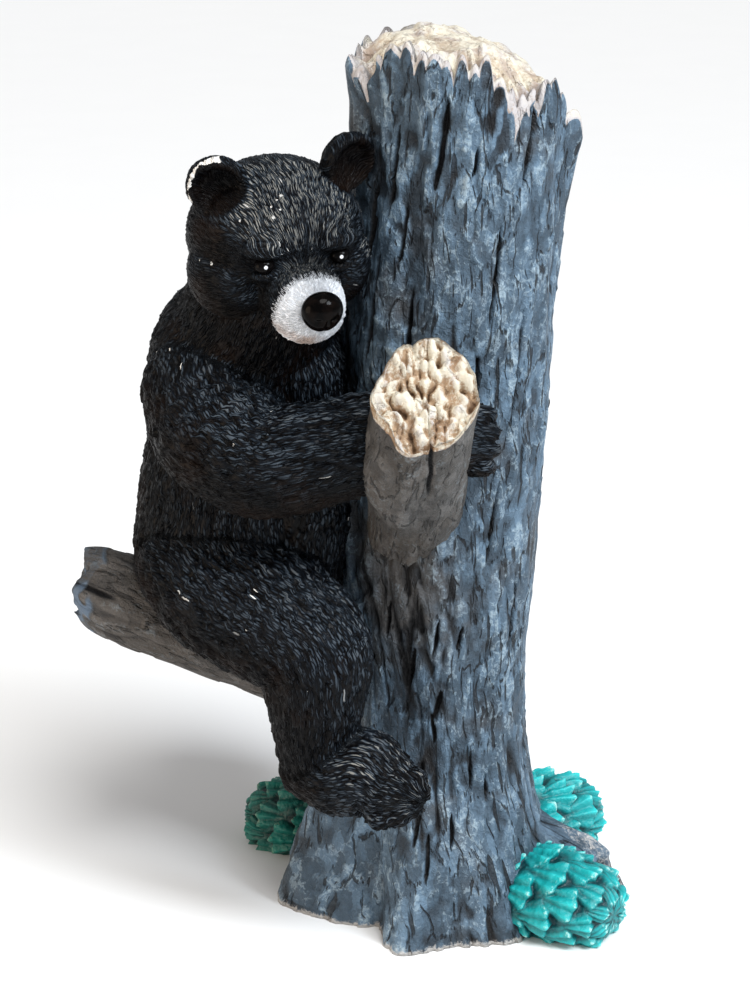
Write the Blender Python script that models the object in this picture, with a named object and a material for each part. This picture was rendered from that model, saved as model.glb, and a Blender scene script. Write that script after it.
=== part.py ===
"""A bear cub that sits on a branch and hugs a broken tree trunk, with pine cones between the roots.

The whole work is one ceramic casting. Metres, +Z up. The origin is on the table, under the foot of the trunk.
The viewer stands at -Y. The cub sits on the -X side, facing the trunk, with its head turned to the viewer.
"""

import math

import bpy
import numpy as np

# Trunk
TRUNK_HEIGHT = 0.1690  # table to the broken edge of the bark at its sides, on average
TRUNK_RADIUS = 0.0203  # above the waist
WAIST_DEPTH = 0.0029  # the waist is slimmer by this
WAIST_HEIGHT = 0.046
WAIST_SPREAD = 0.027
TRUNK_BOW = 0.0026  # the middle leans this far towards the cub
TRUNK_LEAN = 0.0013  # the top stands this far towards +X
FOOT_FLARE = 0.0045
FOOT_FLARE_HEIGHT = 0.036
TOP_CREST = 0.0085  # the broken top rises to a crest that runs from front to back
TOP_FALL = 0.0040  # and falls by this to the +X side
BARK_DEPTH = 0.0012
BARK_THICKNESS = 0.0022
SPLINTER_HEIGHT = 0.0026
HEARTWOOD_DOME = 0.0016

# Splinters that stand out of the rest: direction, half width in degrees, extra height, outward lean
SPLINTERS = (
    (-163, 13, 0.0050, 0.0008),
    (-150, 3, -0.0070, 0.0),
    (-131, 12, 0.0034, 0.0),
    (-92, 4, -0.0040, 0.0),
    (-37, 7, 0.0030, 0.0),
    (-21, 5, -0.0040, 0.0),
    (-7, 7, 0.0030, 0.0022),
)

# Roots: direction round the trunk in degrees, reach past the trunk, half width in degrees, height on the trunk and
# how full the root's back is; a reach below nought is a hollow between two roots
ROOTS = (
    (-3, 0.0140, 13, 0.0168, 3.2),
    (-62, 0.0026, 20, 0.030, 1.5),
    (-108, 0.0046, 14, 0.040, 1.5),
    (-130, -0.0026, 7, 0.050, 1.5),
    (-171, 0.0115, 21, 0.052, 1.5),
    (115, 0.0070, 18, 0.040, 1.5),
    (62, 0.0060, 16, 0.030, 1.5),
)

# Broken stub on the viewer's side, and the branch that the cub sits on: height where the axis leaves the trunk's
# middle and its shift from there along X, reach, slope and direction in degrees, and how much fuller its left flank
# is by the trunk
STUB = dict(radius=0.0093, height=0.0734, shift=-0.0062, reach=0.0405, slope=50, direction=-87, swell=0.0006,
            slant=0.0030, worn=0.02, flank=0.0034)
BRANCH = dict(radius=0.0086, height=0.0384, shift=0.0, reach=0.0730, slope=22, direction=177, swell=0.0010,
              slant=0.0022, worn=0.22, flank=0.0)
BREAK_DEPTH = 0.0030  # roughness of a broken end

# Pine cones: direction round the trunk, distance of the middle, its height, half length, half thickness, share of
# the thickness upwards and where the tip points
CONES = (
    dict(direction=-33, distance=0.0276, height=0.0066, length=0.0134, thickness=0.0110, flatness=0.84, tip=-36),
    dict(direction=37, distance=0.0270, height=0.0072, length=0.0130, thickness=0.0099, flatness=1.0, tip=24),
    dict(direction=146, distance=0.0374, height=0.0042, length=0.0122, thickness=0.0098, flatness=1.0, tip=165),
)
CONE_SCALES_ROUND = 7
CONE_SCALE_ROWS = 4.5
CONE_SCALE_LIFT = 0.0024

# Cub. Its masses are in hundredths of its height, from the seat to the crown. They are measured from the place
# where the trunk's surface meets the level of the seat, on the -X side.
CUB_HEIGHT = 0.1000
CUB_SEAT = 0.0560
CUB_STANDOFF = 0.0016  # the place they are measured from stands off the trunk by this
CUB_MIDDLE = -20.0  # its tufts are laid out round the upright line here
HEAD_PLACE = (-10.8, -15.9, 88.5)
HEAD_TURN = 22  # degrees, from facing the viewer towards the trunk
HEAD_NOD = 18
HEAD_TILT = 3
EARS = ((-1, -12.0, 12.8), (1, 12.9, 14.2))  # side, then place across the head and up
EAR_LEAN = 18
TUFT_DEPTH = 0.45
TUFT_LENGTH = 9.0
TUFT_WIDTH = 3.4

# The foot of the casting is ground flat, and runs on this far before the cut
GROUND_DEPTH = 0.0040
CLAY_GRAIN = 0.0010  # the cub's masses melt together at this fineness
CASTING_GRAIN = 0.0007
CASTING_TRIANGLES = 9700
CARVED_TRIANGLES = 17000  # the head and the cones stay as fine as if the whole had this many
HEAD_REACH = 0.27

CASTING_COLOUR = (0.045, 0.050, 0.058)
CASTING_ROUGHNESS = 0.5


def clear_scene():
    for thing in list(bpy.data.objects):
        bpy.data.objects.remove(thing, do_unlink=True)
    for mesh in list(bpy.data.meshes):
        bpy.data.meshes.remove(mesh)


def value_noise(across, along, seed, turn=None):
    """Smooth noise from 0 to 1 on a unit lattice. It repeats across after the given whole number of cells."""
    values = np.random.default_rng(seed).random((97, 89))
    column = np.floor(across).astype(int)
    row = np.floor(along).astype(int)
    u = across - column
    v = along - row
    u, v = u * u * (3 - 2 * u), v * v * (3 - 2 * v)
    left = column % (turn or 97) % 97
    right = (column + 1) % (turn or 97) % 97
    low, high = row % 89, (row + 1) % 89
    lower = values[left, low] * (1 - u) + values[right, low] * u
    upper = values[left, high] * (1 - u) + values[right, high] * u
    return lower * (1 - v) + upper * v


def unit(vectors):
    return vectors / np.linalg.norm(vectors, axis=-1, keepdims=True)


def curve_through(stations, count):
    """Catmull-Rom rows through the station rows, evenly stepped."""
    points = np.array(stations, float)
    padded = np.vstack([2 * points[0] - points[1], points, 2 * points[-1] - points[-2]])
    at = np.linspace(0, len(points) - 1 - 1e-9, count)
    step = at.astype(int)
    t = (at - step)[:, None]
    a, b, c, d = (padded[step + k] for k in range(4))
    return 0.5 * (2 * b + (c - a) * t + (2 * a - 5 * b + 4 * c - d) * t**2 + (3 * b - a - 3 * c + d) * t**3)


def skin(rings, first_pole, last_pole):
    """Closed quads round a stack of rings, with a fan at each end: (points, faces)."""
    levels, around = rings.shape[:2]
    points = np.vstack([rings.reshape(-1, 3), first_pole, last_pole])
    here = np.arange(levels * around).reshape(levels, around)
    there = np.roll(here, -1, axis=1)
    walls = np.stack([here[:-1], there[:-1], there[1:], here[1:]], axis=-1).reshape(-1, 4).tolist()
    first, last = levels * around, levels * around + 1
    fans = [(first, b, a) for a, b in zip(here[0].tolist(), there[0].tolist())]
    fans += [(last, a, b) for a, b in zip(here[-1].tolist(), there[-1].tolist())]
    return points, walls + fans


def limb(stations, side, around=24, count=28):
    """A round-ended tube. A station is x, y, z and the half widths along the side vector and square to it."""
    rows = curve_through(stations, count)
    centres, wide, deep = rows[:, :3], rows[:, 3], rows[:, 4]
    ahead = unit(np.gradient(centres, axis=0))
    bend = np.radians([15, 32, 50, 68, 84])
    for end, sense in ((0, -1), (-1, 1)):
        reach = 0.5 * (wide[end] + deep[end])
        caps = centres[end] + sense * ahead[end] * reach * np.sin(bend)[:, None]
        spread = np.stack([wide[end] * np.cos(bend), deep[end] * np.cos(bend)], axis=1)
        facing = np.repeat(ahead[end][None], len(bend), axis=0)
        order = slice(None, None, sense)
        where = (0, 0) if sense < 0 else (len(centres), len(centres))
        centres = np.insert(centres, where[0], caps[order], axis=0)
        wide = np.insert(wide, where[0], spread[order, 0])
        deep = np.insert(deep, where[0], spread[order, 1])
        ahead = np.insert(ahead, where[0], facing, axis=0)
    out = unit(side - (ahead @ side)[:, None] * ahead)
    up = np.cross(ahead, out)
    angle = np.linspace(0, 2 * math.pi, around, endpoint=False)
    rings = (
        centres[:, None]
        + np.cos(angle)[None, :, None] * (wide[:, None] * out)[:, None]
        + np.sin(angle)[None, :, None] * (deep[:, None] * up)[:, None]
    )
    return skin(rings, rings[0].mean(axis=0), rings[-1].mean(axis=0))


def turned(profile, place, axes, around=28):
    """A profile of (radius, depth) points turned round the third of the axes."""
    radius, depth = np.array(profile[1:-1], float).T
    angle = np.linspace(0, 2 * math.pi, around, endpoint=False)
    flat = np.stack(
        [radius[:, None] * np.cos(angle), radius[:, None] * np.sin(angle), np.repeat(depth[:, None], around, 1)],
        axis=-1,
    )
    poles = np.array([[0, 0, profile[0][1]], [0, 0, profile[-1][1]]], float)
    poles = poles @ axes + place
    return skin(flat @ axes + place, poles[0], poles[1])


def ball(place, half_sizes, axes=np.eye(3)):
    bend = np.radians(np.linspace(-90, 90, 19))
    profile = list(zip(np.cos(bend), np.sin(bend)))
    return turned(profile, np.array(place, float), np.array(half_sizes, float)[:, None] * axes)


def mirrored(shape):
    points, faces = shape
    return points * (1, -1, 1), [face[::-1] for face in faces]


def head_axes():
    """Rows: to the cub's left, up, and out of its face."""
    turn, nod, tilt = map(math.radians, (HEAD_TURN, HEAD_NOD, HEAD_TILT))
    face = np.array([math.sin(turn) * math.cos(nod), -math.cos(turn) * math.cos(nod), -math.sin(nod)])
    level = np.array([math.cos(turn), math.sin(turn), 0])
    crown = np.cross(face, level)
    side = math.cos(tilt) * level + math.sin(tilt) * crown
    return np.array([side, np.cross(face, side), face])


def cub_belly():
    """Belly and chest lean on the trunk."""
    yield ball((-7.0, -1, 32), (10, 17.5, 24))
    yield ball((-8.5, -5, 60), (10, 14.5, 13))


def cub_torso():
    spine = (
        (-22.6, 0, 11, 13, 13.4),
        (-22, 0, 14, 18.4, 18.8),
        (-21.4, 0, 21, 20.4, 21),
        (-20.7, 0, 32, 19.6, 20.0),
        (-19.4, 0, 44, 18.6, 18.6),
        (-19.0, -1, 54, 18.8, 19.0),
        (-18.1, -4, 63, 18.4, 18.4),
        (-15.6, -8, 71, 15.2, 15.6),
        (-12.5, -12, 79, 14.5, 14.5),
    )
    return limb(spine, np.array([1.0, 0, 0]), around=40, count=44)


def cub_arm():
    path = (
        (-23.6, -11, 57.5, 13.8, 14.2),
        (-21.5, -19, 52, 13.2, 13),
        (-13.5, -25, 48.5, 11, 10.8),
        (-3.5, -26.6, 50.4, 10, 8.9),
        (7.5, -25.8, 52.6, 9.6, 7.7),
        (16.5, -25.7, 53.3, 8.8, 7),
        (21.6, -24.8, 52.7, 7.4, 6.6),
    )
    return limb(path, np.array([0, 0, 1.0]))


def cub_fingers():
    for turn in range(4):
        yield ball((25.9 + 0.9 * math.sin(1.1 * turn), -25.4 - 0.5 * turn, 57.6 - 3.2 * turn), (3.6, 2.9, 2.0))


def cub_leg():
    path = (
        (-27.2, -8, 21.5, 13.6, 12.4),
        (-21.4, -15.5, 18.8, 14.4, 10.9),
        (-12.3, -21, 14.6, 13.4, 10.8),
        (-5.4, -23.2, 8.8, 12, 11.4),
        (-4.7, -23.8, 1.5, 10.3, 10.2),
        (-4.7, -23.2, -7, 8.7, 9),
        (-4.3, -23.2, -13, 7.9, 8),
        (-3.8, -23.8, -16.5, 7, 7),
    )
    return limb(path, np.array([1.0, 0, 0.4]), count=40)


def cub_foot():
    sole = (
        (-5.6, -22.8, -16.6, 6.6, 6.4),
        (-1, -25, -16.6, 8.4, 8.2),
        (5.2, -27.2, -15.4, 8.8, 8.2),
        (8.2, -28.6, -16.4, 7.8, 7.2),
    )
    return limb(sole, np.array([0, 0, 1.0]))


def cub_toes():
    for toe in range(5):
        turn = math.radians(28 - 33 * toe)
        yield ball((9.4 + 5.6 * math.cos(turn), -30.2 - 0.5 * toe, -17.4 + 5.2 * math.sin(turn)), (3.2, 2.8, 2.7))


def cub_head():
    axes = head_axes()
    middle = np.array(HEAD_PLACE, float)

    def place(side, up, out):
        return middle + np.array([side, up, out]) @ axes

    yield ball(place(-0.3, 0.8, -1.5), (16.6, 14.0, 15.2), axes)
    yield ball(place(0, 6.0, 5.5), (11.4, 7.0, 8.0), axes)
    for side in (-1, 1):
        yield ball(place(side * 8.2 - 0.4, -4.2, 1.8), (9.2, 9.0, 10.0), axes)
        yield ball(place(side * 6.4, 5.8, 11.0), (4.4, 2.0, 3.0), axes)
        yield ball(place(side * 7.2, 3.0, 12.5), (1.9, 1.7, 1.6), axes)
    muzzle = [tuple(place(0, up, out)) + half for up, out, half in (
        (-3.6, 6.0, (9.0, 8.2)),
        (-4.2, 12.0, (7.9, 7.3)),
        (-4.5, 16.2, (7.2, 6.8)),
    )]
    yield limb(muzzle, axes[0])
    yield limb([tuple(place(0, -8.0, 4)) + (7.5, 5.0), tuple(place(0, -8.9, 13.6)) + (5.2, 3.4)], axes[0])
    yield ball(place(0, -1.0, 23.4), (3.9, 3.8, 3.0), axes)
    ear = ((0, -3.4), (2.6, -3.2), (4.6, -2.2), (5.6, -0.4), (5.7, 1.0), (5.1, 1.9), (4.2, 1.5), (3.2, 0.2), (0, -0.8))
    for side, across_head, up in EARS:
        lean = math.radians(EAR_LEAN * side)
        facing = unit(math.cos(lean) * axes[2] + math.sin(lean) * axes[0])
        across = unit(np.cross(axes[1], facing))
        yield turned(ear, place(across_head, up, -1.0), np.array([across, np.cross(facing, across), facing]))


def joined(shapes):
    points, faces, start = [], [], 0
    for shape_points, shape_faces in shapes:
        points.append(shape_points)
        faces += [tuple(corner + start for corner in face) for face in shape_faces]
        start += len(shape_points)
    return np.vstack(points), faces


def object_of(name, shape):
    mesh = bpy.data.meshes.new(name)
    mesh.from_pydata(shape[0].tolist(), [], shape[1])
    mesh.update()
    thing = bpy.data.objects.new(name, mesh)
    bpy.context.scene.collection.objects.link(thing)
    return thing


def remeshed(thing, grain):
    modifier = thing.modifiers.new("melt", "REMESH")
    modifier.mode = "VOXEL"
    modifier.voxel_size = grain
    modifier.use_smooth_shade = True


def settled(thing):
    """The object's shape with its modifiers in place: (points, normals, faces). The object goes."""
    graph = bpy.context.evaluated_depsgraph_get()
    mesh = bpy.data.meshes.new_from_object(thing.evaluated_get(graph))
    points = np.empty(len(mesh.vertices) * 3, np.float32)
    normals = np.empty(len(mesh.vertices) * 3, np.float32)
    mesh.vertices.foreach_get("co", points)
    mesh.vertex_normals.foreach_get("vector", normals)
    faces = [tuple(face.vertices) for face in mesh.polygons]
    bpy.data.objects.remove(thing, do_unlink=True)
    return points.reshape(-1, 3).astype(float), normals.reshape(-1, 3).astype(float), faces


def cub():
    """The cub's masses melted together, softened, and tufted along the fall of its fur."""
    limbs = [cub_arm(), *cub_fingers(), cub_leg(), cub_foot(), *cub_toes()]
    points, faces = joined([cub_torso(), *cub_belly(), *limbs, *map(mirrored, limbs), *cub_head()])
    share = CUB_HEIGHT / 100
    clay = object_of("clay", (points * share, faces))
    remeshed(clay, CLAY_GRAIN)
    soften = clay.modifiers.new("soften", "SMOOTH")
    soften.factor = 0.5
    soften.iterations = 3
    points, normals, faces = settled(clay)
    points /= share
    turn = np.arctan2(points[:, 1], points[:, 0] - CUB_MIDDLE)
    tufts = value_noise(turn * 20 / TUFT_WIDTH, points[:, 2] / TUFT_LENGTH, 5) - 0.5
    tufts[np.linalg.norm(points - HEAD_PLACE, axis=1) < 27] *= 0.3
    points = (points + TUFT_DEPTH * 2 * tufts[:, None] * normals) * share
    return points + (-TRUNK_RADIUS - CUB_STANDOFF, 0, CUB_SEAT), faces


def trunk_axis(height):
    share = height / TRUNK_HEIGHT
    return TRUNK_LEAN * share - TRUNK_BOW * np.sin(math.pi * np.clip(share, 0, 1))


def trunk_radius(turn, height):
    """Distance from the trunk's axis to its bark, for directions in radians and heights."""
    waist = WAIST_DEPTH * np.exp(-(((height - WAIST_HEIGHT) / WAIST_SPREAD) ** 2))
    low = np.clip(1 - height / FOOT_FLARE_HEIGHT, 0, 1.2)
    radius = TRUNK_RADIUS - waist + FOOT_FLARE * low**2
    for direction, reach, half_width, top, fullness in ROOTS:
        off = np.degrees(np.angle(np.exp(1j * (turn - math.radians(direction)))))
        rise = np.clip(height, 0, None) / top
        radius = radius + reach * np.clip(1 - rise**fullness, 0, 1) * np.exp(-((off / half_width) ** 2))
    return radius


def top_level(across):
    """Height of the broken top, for places across it from -1 on the cub's side to 1."""
    return TRUNK_HEIGHT + TOP_CREST * (1 - np.abs(across) ** 3) - TOP_FALL * across


def bark(turn, height):
    """Furrows that run up the trunk and lean a little, from -1 in a furrow to +1 on a ridge."""
    around = turn / (2 * math.pi)
    lean = height / 0.110
    coarse = value_noise(26 * around + lean, height / 0.022, 11, 26)
    fine = value_noise(52 * around + 2 * lean, height / 0.011, 12, 52)
    return 2 * (0.68 * coarse + 0.32 * fine) - 1


def trunk():
    around, levels = 200, 190
    turn = np.linspace(0, 2 * math.pi, around, endpoint=False)
    jags = value_noise(24 * turn / (2 * math.pi), np.zeros(around), 31, 24)
    edge = top_level(np.cos(turn)) + SPLINTER_HEIGHT * (2 * jags - 1)
    lean = np.zeros(around)
    for direction, half_width, taller, outward in SPLINTERS:
        off = np.degrees(np.angle(np.exp(1j * (turn - math.radians(direction))))) / half_width
        edge += taller * np.clip(1.4 - np.abs(off), 0, 1)
        lean += outward * np.clip(1.4 - np.abs(off), 0, 1)
    share = np.linspace(0, 1, levels)[:, None]
    height = -GROUND_DEPTH + share * (edge + GROUND_DEPTH)
    turns = np.broadcast_to(turn, height.shape)
    radius = trunk_radius(turns, height) + BARK_DEPTH * bark(turns, height) + lean * share**12
    radius[-1] -= 0.0006
    side = np.stack([radius * np.cos(turns), radius * np.sin(turns), height], axis=-1)
    inward = np.linspace(1, 0.04, 26)[:, None]
    inner = (radius[-1] - lean - BARK_THICKNESS) * inward
    lumps = value_noise(inner * np.cos(turn) / 0.004, inner * np.sin(turn) / 0.004, 41) - 0.5
    dome = top_level(inward * np.cos(turn)) + HEARTWOOD_DOME * (1 - inward**2) + 0.0024 * lumps
    top = np.stack([inner * np.cos(turn), inner * np.sin(turn), dome], axis=-1)
    rings = np.concatenate([side, top])
    rings[..., 0] += trunk_axis(rings[..., 2])
    return skin(rings, rings[0].mean(axis=0), rings[-1].mean(axis=0))


def bough(sizes, seed):
    """A broken branch. Its axis leaves the middle of the trunk, and its end is rough and slants back."""
    around, levels = 60, 70
    direction, slope = math.radians(sizes["direction"]), math.radians(sizes["slope"])
    ahead = np.array([
        math.cos(slope) * math.cos(direction), math.cos(slope) * math.sin(direction), math.sin(slope)
    ])
    side = unit(np.cross(ahead, (0, 0, 1)))
    up = np.cross(side, ahead)
    start = np.array([trunk_axis(sizes["height"]) + sizes["shift"], 0, sizes["height"]])
    length = sizes["reach"] / math.cos(slope)
    turn = np.linspace(0, 2 * math.pi, around, endpoint=False)[None, :]
    share = np.linspace(0, 1, levels)[:, None]
    ridges = value_noise(12 * turn / (2 * math.pi) + 0 * share, share * length / 0.016 + 0 * turn, seed, 12) - 0.5
    radius = (sizes["radius"] + sizes["swell"] * share**4 + 0.0012 * ridges) * (1 - sizes["worn"] * share**24)
    bell = np.exp(-(((share - 0.66) / 0.14) ** 2))
    radius = radius + sizes["flank"] * bell * np.clip(np.cos(turn), 0, 1)
    broken = BREAK_DEPTH * (value_noise(7 * turn / (2 * math.pi), 0 * turn, seed + 1, 7) - 0.35)
    slant = sizes["slant"] * np.sin(turn)
    along = share * (length + broken + slant)
    inward = np.linspace(0.9, 0.08, 10)[:, None]
    lumps = value_noise(inward * np.cos(turn) * 3, inward * np.sin(turn) * 3, seed + 2) - 0.5
    cap_along = length + slant * inward + broken * inward**2 + BREAK_DEPTH * 0.8 * lumps
    radius = np.concatenate([radius, radius[-1:] * inward])[..., None]
    along = np.concatenate([along, cap_along])[..., None]
    turn = turn[..., None]
    rings = start + along * ahead + radius * (np.cos(turn) * side + np.sin(turn) * up)
    return skin(rings, rings[0].mean(axis=0), rings[-1].mean(axis=0))


def cone(sizes):
    """A pine cone on its side, with rows of fan-shaped scales that open towards its tip."""
    around, levels = 84, 56
    turn = np.linspace(0, 2 * math.pi, around, endpoint=False)[None, :]
    share = np.linspace(0.02, 0.98, levels)[:, None]
    lift = 0
    for offset in range(2):
        column = CONE_SCALES_ROUND * turn / (2 * math.pi) + 0.5 * offset
        across = 2 * (column - np.floor(column)) - 1
        row = 0.5 * CONE_SCALE_ROWS * share + 0.5 * offset + 0.11 * across**2
        within = row - np.floor(row)
        fan = within**0.8 * np.clip(1 - across**2 / (0.15 + within), 0, 1) ** 0.5
        lift = np.maximum(lift, fan)
    girth = np.sin(math.pi * share) ** 0.62
    swell = 1 + 0.12 * np.cos(math.pi * share)
    radius = sizes["thickness"] * girth * swell + CONE_SCALE_LIFT * (lift - 0.5) * np.sqrt(girth)
    along = sizes["length"] * -np.cos(math.pi * share)
    tip, direction = math.radians(sizes["tip"]), math.radians(sizes["direction"])
    ahead = np.array([math.cos(tip), math.sin(tip), 0.0])
    side = np.array([-math.sin(tip), math.cos(tip), 0.0])
    place = sizes["distance"] * np.array([math.cos(direction), math.sin(direction), 0])
    place[2] = sizes["height"]
    rings = place + (along + 0 * turn)[..., None] * ahead + radius[..., None] * (
        np.cos(turn)[..., None] * side + np.sin(turn)[..., None] * (0, 0, sizes["flatness"])
    )
    return skin(rings, rings[0].mean(axis=0), rings[-1].mean(axis=0))


def plain_group(thing, points):
    """Names a group of all points but the head's and the cones', which keep more triangles."""
    head = np.array(HEAD_PLACE) * CUB_HEIGHT / 100 + (-TRUNK_RADIUS - CUB_STANDOFF, 0, CUB_SEAT)
    carved = np.linalg.norm(points - head, axis=1) < HEAD_REACH * CUB_HEIGHT
    for sizes in CONES:
        direction = math.radians(sizes["direction"])
        middle = sizes["distance"] * np.array([math.cos(direction), math.sin(direction), 0])
        carved |= np.linalg.norm(points - middle, axis=1) < sizes["length"]
    group = thing.vertex_groups.new(name="plain")
    group.add(np.flatnonzero(~carved).tolist(), 1.0, "REPLACE")
    return group.name


def ground_cutter():
    reach, depth = 4 * TRUNK_RADIUS + BRANCH["reach"], 10 * GROUND_DEPTH
    corners = np.array([(x, y, z) for x in (-reach, reach) for y in (-reach, reach) for z in (-depth, 0)])
    sides = [(0, 1, 3, 2), (4, 6, 7, 5), (0, 4, 5, 1), (2, 3, 7, 6), (0, 2, 6, 4), (1, 5, 7, 3)]
    cutter = object_of("ground_cutter", (corners, sides))
    cutter.hide_render = True
    cutter.display_type = "WIRE"
    return cutter


def painted(name, colour, roughness):
    material = bpy.data.materials.new(name)
    material.use_nodes = True
    shader = material.node_tree.nodes["Principled BSDF"]
    shader.inputs["Base Color"].default_value = (*colour, 1)
    shader.inputs["Roughness"].default_value = roughness
    shader.inputs["Metallic"].default_value = 0
    return material


def main():
    clear_scene()
    wood = [trunk(), bough(STUB, 51), bough(BRANCH, 61)]
    casting = object_of("bear_figurine", joined([cub(), *wood, *map(cone, CONES)]))
    remeshed(casting, CASTING_GRAIN)
    points, _, faces = settled(casting)
    casting = object_of("bear_figurine", (points, faces))
    even = casting.modifiers.new("thin_evenly", "DECIMATE")
    even.ratio = CARVED_TRIANGLES / (2 * len(faces))
    plain = casting.modifiers.new("thin_plain_parts", "DECIMATE")
    plain.ratio = CASTING_TRIANGLES / CARVED_TRIANGLES
    plain.vertex_group = plain_group(casting, points)
    flat = casting.modifiers.new("flat_foot", "BOOLEAN")
    flat.operation = "DIFFERENCE"
    flat.object = ground_cutter()
    casting.data.materials.append(painted("casting", CASTING_COLOUR, CASTING_ROUGHNESS))


main()
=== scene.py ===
import math

import bpy
import numpy as np
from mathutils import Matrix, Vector


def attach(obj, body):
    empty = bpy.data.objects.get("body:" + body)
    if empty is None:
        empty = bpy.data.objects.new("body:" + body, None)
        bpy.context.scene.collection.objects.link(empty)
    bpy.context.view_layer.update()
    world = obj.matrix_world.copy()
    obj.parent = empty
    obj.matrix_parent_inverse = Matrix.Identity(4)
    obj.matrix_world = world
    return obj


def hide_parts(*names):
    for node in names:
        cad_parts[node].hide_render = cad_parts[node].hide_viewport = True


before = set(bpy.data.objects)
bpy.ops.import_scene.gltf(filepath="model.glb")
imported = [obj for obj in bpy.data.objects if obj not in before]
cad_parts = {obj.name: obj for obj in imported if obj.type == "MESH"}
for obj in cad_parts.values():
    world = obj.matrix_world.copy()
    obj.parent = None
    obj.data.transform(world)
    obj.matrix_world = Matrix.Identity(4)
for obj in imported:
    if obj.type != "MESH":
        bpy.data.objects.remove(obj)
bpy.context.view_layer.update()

# A bear cub on a branch, hugging a broken trunk. Lengths below are millimetres, on the frame's axes: +X to the
# viewer's right, +Z up, the viewer at -Y.

# numbers and noise


def unit(vectors):
    # each vector divided by its length
    return vectors / np.maximum(np.linalg.norm(vectors, axis=-1, keepdims=True), 1e-9)


def circle(count):
    # even turns round a circle, in radians
    return np.linspace(0, 2 * math.pi, count, endpoint=False)


def laidOn(vectors, normals):
    # the directions laid on a surface: each less its share of the normal
    return unit(vectors - (vectors * normals).sum(axis=1, keepdims=True) * normals)


def squareTo(ahead, side):
    # two directions square to each one ahead: out towards the side, and the cross product of both
    out = unit(side - (ahead @ side)[:, None] * ahead)
    return out, np.cross(ahead, out)


def eased(low, high, values):
    # 0 below low, 1 above high, 3t^2 - 2t^3 between
    t = np.clip((values - low) / (high - low), 0, 1)
    return t * t * (3 - 2 * t)


def gridNoise(across, along, seed, turn=97):
    # noise 0..1 on a unit lattice, each cell smoothed by 3t^2 - 2t^3; it repeats across after turn cells
    columns, rows = 97, 89
    values = np.random.default_rng(seed).random((columns, rows))
    column, row = np.floor(across).astype(int), np.floor(along).astype(int)
    u, v = across - column, along - row
    u, v = u * u * (3 - 2 * u), v * v * (3 - 2 * v)
    left, right = column % turn % columns, (column + 1) % turn % columns
    low, high = row % rows, (row + 1) % rows
    lower = values[left, low] * (1 - u) + values[right, low] * u
    upper = values[left, high] * (1 - u) + values[right, high] * u
    return lower * (1 - v) + upper * v


def cloudNoise(points, size, seed):
    # noise 0..1 in space, with cells of the given size in millimetres: each point takes the eight corners of its
    # cell, weighed by 3t^2 - 2t^3
    counts = (41, 43, 47)
    lattice = np.random.default_rng(seed).random(counts)
    at = points / size + 300.0
    cell = np.floor(at).astype(int)
    t = at - cell
    t = t * t * (3 - 2 * t)
    total = 0
    for i in (0, 1):
        for j in (0, 1):
            for k in (0, 1):
                share = abs(1 - i - t[..., 0]) * abs(1 - j - t[..., 1]) * abs(1 - k - t[..., 2])
                x, y, z = np.moveaxis((cell + (i, j, k)) % counts, -1, 0)
                total = total + share * lattice[x, y, z]
    return total


def creased(noise):
    # noise 0..1 folded at its middle: 1 on sharp crests, 0 away from them
    return 1 - np.abs(2 * noise - 1)


# surfaces


def curveThrough(stations, count):
    # Catmull-Rom curve through the station rows, evenly stepped
    points = np.array(stations, float)
    padded = np.vstack([2 * points[0] - points[1], points, 2 * points[-1] - points[-2]])
    at = np.linspace(0, len(points) - 1 - 1e-9, count)
    step = at.astype(int)
    t = (at - step)[:, None]
    a, b, c, d = (padded[step + k] for k in range(4))
    return 0.5 * (2 * b + (c - a) * t + (2 * a - 5 * b + 4 * c - d) * t**2 + (3 * b - a - 3 * c + d) * t**3)


def skin(rings, poles=None):
    # quads between neighbouring rings, and at each end a fan of triangles to a pole, which is the end ring's middle
    # where no poles are given: (points, quads, triangles)
    if poles is None:
        poles = rings[0].mean(axis=0), rings[-1].mean(axis=0)
    levels, around = rings.shape[:2]
    points = np.vstack([rings.reshape(-1, 3), *poles])
    here = np.arange(levels * around).reshape(levels, around)
    there = np.roll(here, -1, axis=1)
    quads = np.stack([here[:-1], there[:-1], there[1:], here[1:]], axis=-1).reshape(-1, 4)
    first, last = np.full(around, levels * around), np.full(around, levels * around + 1)
    low = np.stack([first, there[0], here[0]], axis=1)
    high = np.stack([last, here[-1], there[-1]], axis=1)
    return points, quads, np.vstack([low, high])


def limb(stations, side, around=32, count=44):
    # an oval carried along a curve, with round ends; a station is x, y, z and the two half widths
    rows = curveThrough(stations, count)
    centres, wide, deep = rows[:, :3], rows[:, 3], rows[:, 4]
    ahead = unit(np.gradient(centres, axis=0))
    bend = np.radians([12, 26, 40, 54, 68, 80, 87])
    for end, sense in ((0, -1), (-1, 1)):
        reach = 0.5 * (wide[end] + deep[end])
        caps = centres[end] + sense * ahead[end] * reach * np.sin(bend)[:, None]
        spread = np.stack([wide[end] * np.cos(bend), deep[end] * np.cos(bend)], axis=1)
        facing = np.repeat(ahead[end][None], len(bend), axis=0)
        order = slice(None, None, sense)
        where = 0 if sense < 0 else len(centres)
        centres = np.insert(centres, where, caps[order], axis=0)
        wide = np.insert(wide, where, spread[order, 0])
        deep = np.insert(deep, where, spread[order, 1])
        ahead = np.insert(ahead, where, facing, axis=0)
    out, up = squareTo(ahead, side)
    angle = circle(around)
    rings = (
        centres[:, None]
        + np.cos(angle)[None, :, None] * (wide[:, None] * out)[:, None]
        + np.sin(angle)[None, :, None] * (deep[:, None] * up)[:, None]
    )
    return skin(rings)


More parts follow.
